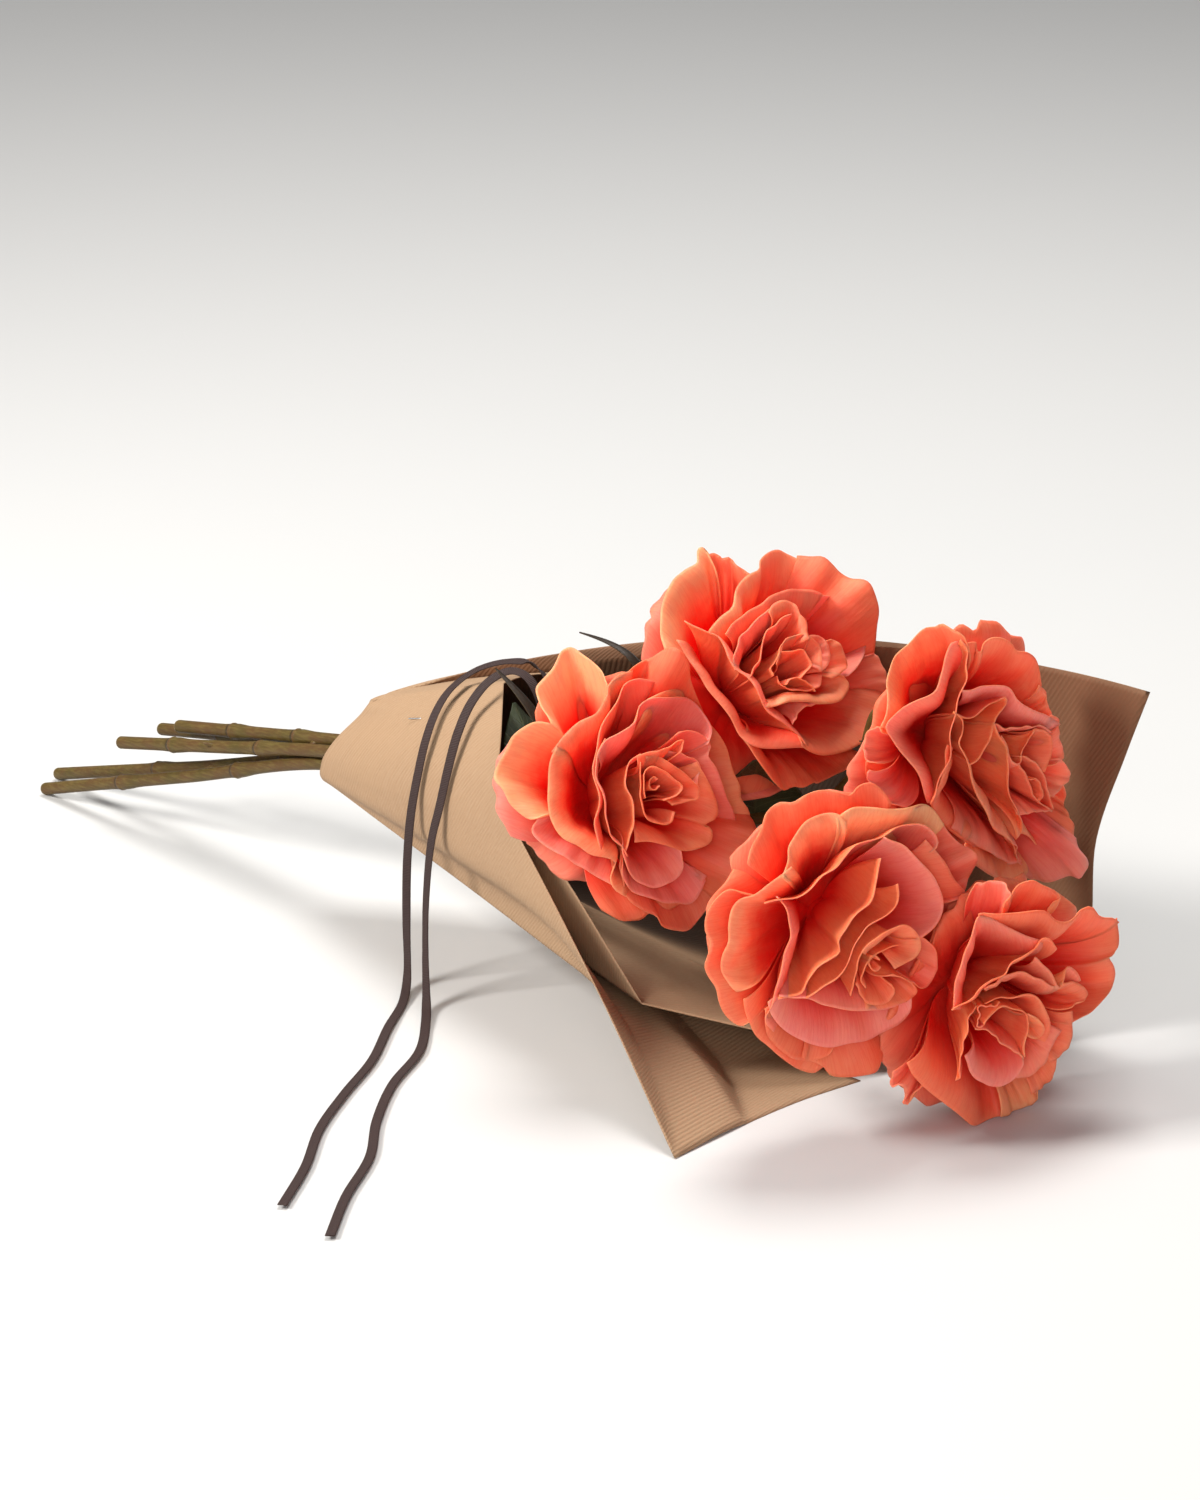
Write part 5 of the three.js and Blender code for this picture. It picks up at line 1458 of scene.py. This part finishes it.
class BUNCH_OT_stage(bpy.types.Operator):
    """Pale floor, soft studio lights and the camera"""

    bl_idname = "bunch.stage"
    bl_label = "Stage and Camera"

    def execute(self, context):
        scene = context.scene
        mesh = bpy.data.meshes.new("pale_floor")
        half = FLOOR_WIDTH / 2
        corners = [(-half, -half, 0), (half, -half, 0), (half, half, 0), (-half, half, 0)]
        mesh.from_pydata(corners, [], [(0, 1, 2, 3)])
        mesh.materials.append(shared(floor_material))
        floor = bpy.data.objects.new("pale_floor", mesh)
        scene.collection.objects.link(floor)
        for name, (place, aim, size, watts, tint) in LIGHTS.items():
            lamp = bpy.data.lights.new(name, "AREA")
            lamp.energy, lamp.size, lamp.color = watts, size, tint
            holder = bpy.data.objects.new(name, lamp)
            holder.location = place
            holder.rotation_euler = look_along(Vector(aim) - Vector(place))
            scene.collection.objects.link(holder)
        world = bpy.data.worlds.new("studio_air")
        world.use_nodes = True
        feed(world.node_tree, world.node_tree.nodes["Background"], {0: (*AIR_TINT, 1), 1: AIR_GLOW})
        scene.world = world
        lens = bpy.data.cameras.new("camera")
        lens.lens, lens.sensor_width = VIEW["lens"], VIEW["sensor"]
        lens.clip_start, lens.clip_end = VIEW["clip"]
        camera = bpy.data.objects.new("camera", lens)
        back = Vector(view_back())
        target = Vector((np.array(VIEW["target"]) + ORIGIN_MM) * MM)
        camera.location = target + back * VIEW["distance"] * MM
        camera.rotation_euler = look_along(-back)
        scene.collection.objects.link(camera)
        scene.camera = camera
        scene.view_settings.view_transform = "Standard"
        return {"FINISHED"}


class BUNCH_OT_ribbon(bpy.types.Operator):
    """The ribbon: its two free tails, its loop round the stems and its knot"""

    bl_idname = "bunch.ribbon"
    bl_label = "Ribbon"

    def execute(self, context):
        s = sizes()
        width, thick = s.ribbon_width / MM, s.ribbon_thickness / MM
        woven = shared(ribbon_material)
        for k, name in enumerate(TAILS):
            line = tail_line(name)
            part = ribbon_part(line, tail_normal(line, 1.4 + 2.1 * k), width, thick)
            piece = make_piece(f"woven_{name}", [part], [woven], [name])
        turn = np.linspace(0, 2 * math.pi, 97)
        radius = TIE["radius"] + 0.6 + 0.5 * np.sin(3 * turn + 0.5)
        centre = np.array(TIE["centre"], float)
        loop = centre + np.stack(
            [1.5 * np.sin(turn + 0.8), radius * np.sin(turn), radius * np.cos(turn)], -1)
        parts = [ribbon_part(loop[:-1], (loop - centre)[:-1], width, thick)]
        parts += knot_parts(np.array(TIE["knot"], float), width, thick)
        make_piece("ribbon_loop_and_knot", parts, [woven], ["ribbon_tie"])
        return {"FINISHED"}


class BUNCH_OT_petals(bpy.types.Operator):
    """The five blooms, petal by petal"""

    bl_idname = "bunch.petals"
    bl_label = "Rose Petals"

    def execute(self, context):
        s = sizes()
        velvet = shared(petal_material)
        rows, cols, ruffle = s.petal_rows, s.petal_columns, s.petal_ruffle / MM
        for number, name in enumerate(BLOOMS):
            rng = np.random.default_rng(PETAL_SEED + number)
            place = bloom_frame(name)
            made = [drawn_petal(place, spec, rng, rows, cols + 8, ruffle)
                    for spec in PETALS[name].values()]
            made += [ruled_petal(place, petal, rows, cols, ruffle)
                     for petal in ruled_petals(name, rng)]
            walls = bloom_walls(name)
            parts = [petal_part(one, walls, s.petal_thickness / MM) for one in made]
            make_piece(f"{name}_petals", [core_part(place), *parts], [velvet], [f"{name}_bloom"])
        return {"FINISHED"}


class BUNCH_OT_greenery(bpy.types.Operator):
    """Stems with joints and thorns, calyxes, sepals, bracts and leaves"""

    bl_idname = "bunch.greenery"
    bl_label = "Stems and Leaves"

    def execute(self, context):
        cane, green = shared(stem_material), shared(leaf_material)
        for number, name in enumerate(BLOOMS):
            line = stem_line(name)
            parts = stem_parts(name) + calyx_parts(name)
            for k, (x, tip, width, arch, kind) in enumerate(LEAVES[name]):
                root = line[int(np.argmin(np.abs(line[:, 0] - x)))]
                seed = 7 * number + k
                parts.append(leaf_part(root, np.array(tip, float), width, arch, kind, seed))
            make_piece(f"{name}_greenery", parts, [cane, green], [f"{name}_stem"])
        return {"FINISHED"}


class BUNCH_OT_paper(bpy.types.Operator):
    """The kraft paper wrap and its staple"""

    bl_idname = "bunch.paper"
    bl_label = "Kraft Paper and Staple"

    def execute(self, context):
        s = sizes()
        thickness = s.paper_thickness / MM
        points, flat, angle = paper_surface(PAPER_ROWS, PAPER_STEPS)
        points = crumple(points, flat, angle)
        points[..., 2] = np.maximum(points[..., 2], thickness / 2 + 0.02)
        # The mask carries the painted shade of the cone's inside and of its tall corner.
        part = shell(points, thickness, flat * MM, paper_shade_mask(*points.shape[:2]))
        make_piece("kraft_paper_wrap", [part], [shared(paper_material)], ["kraft_paper"])
        make_piece("paper_staple", [staple_part(s.staple_wire / MM)], [shared(wire_material)],
                   ["staple"])
        return {"FINISHED"}


class BUNCH_PT_panel(bpy.types.Panel):
    """Lists the steps that build the bunch"""

    bl_label = "Wrapped Rose Bunch"
    bl_idname = "BUNCH_PT_panel"
    bl_space_type = "VIEW_3D"
    bl_region_type = "UI"
    bl_category = "Roses"

    def draw(self, context):
        layout = self.layout
        for operator in OPERATORS:
            layout.operator(operator.bl_idname)
        for group in (context.scene.bunch_sizes, context.scene.bunch_colours):
            box = layout.box()
            for key in group.__annotations__:
                box.prop(group, key)


OPERATORS = (BUNCH_OT_stage, BUNCH_OT_ribbon, BUNCH_OT_petals, BUNCH_OT_greenery, BUNCH_OT_paper)
CLASSES = (BunchSizes, BunchColours, *OPERATORS, BUNCH_PT_panel)


def register():
    for cls in CLASSES:
        bpy.utils.register_class(cls)
    bpy.types.Scene.bunch_sizes = PointerProperty(type=BunchSizes)
    bpy.types.Scene.bunch_colours = PointerProperty(type=BunchColours)


def unregister():
    del bpy.types.Scene.bunch_colours
    del bpy.types.Scene.bunch_sizes
    for cls in reversed(CLASSES):
        bpy.utils.unregister_class(cls)


def main():
    register()
    bpy.ops.bunch.stage()
    bpy.ops.bunch.ribbon()
    bpy.ops.bunch.petals()
    bpy.ops.bunch.greenery()
    bpy.ops.bunch.paper()


if __name__ == "__main__":
    main()
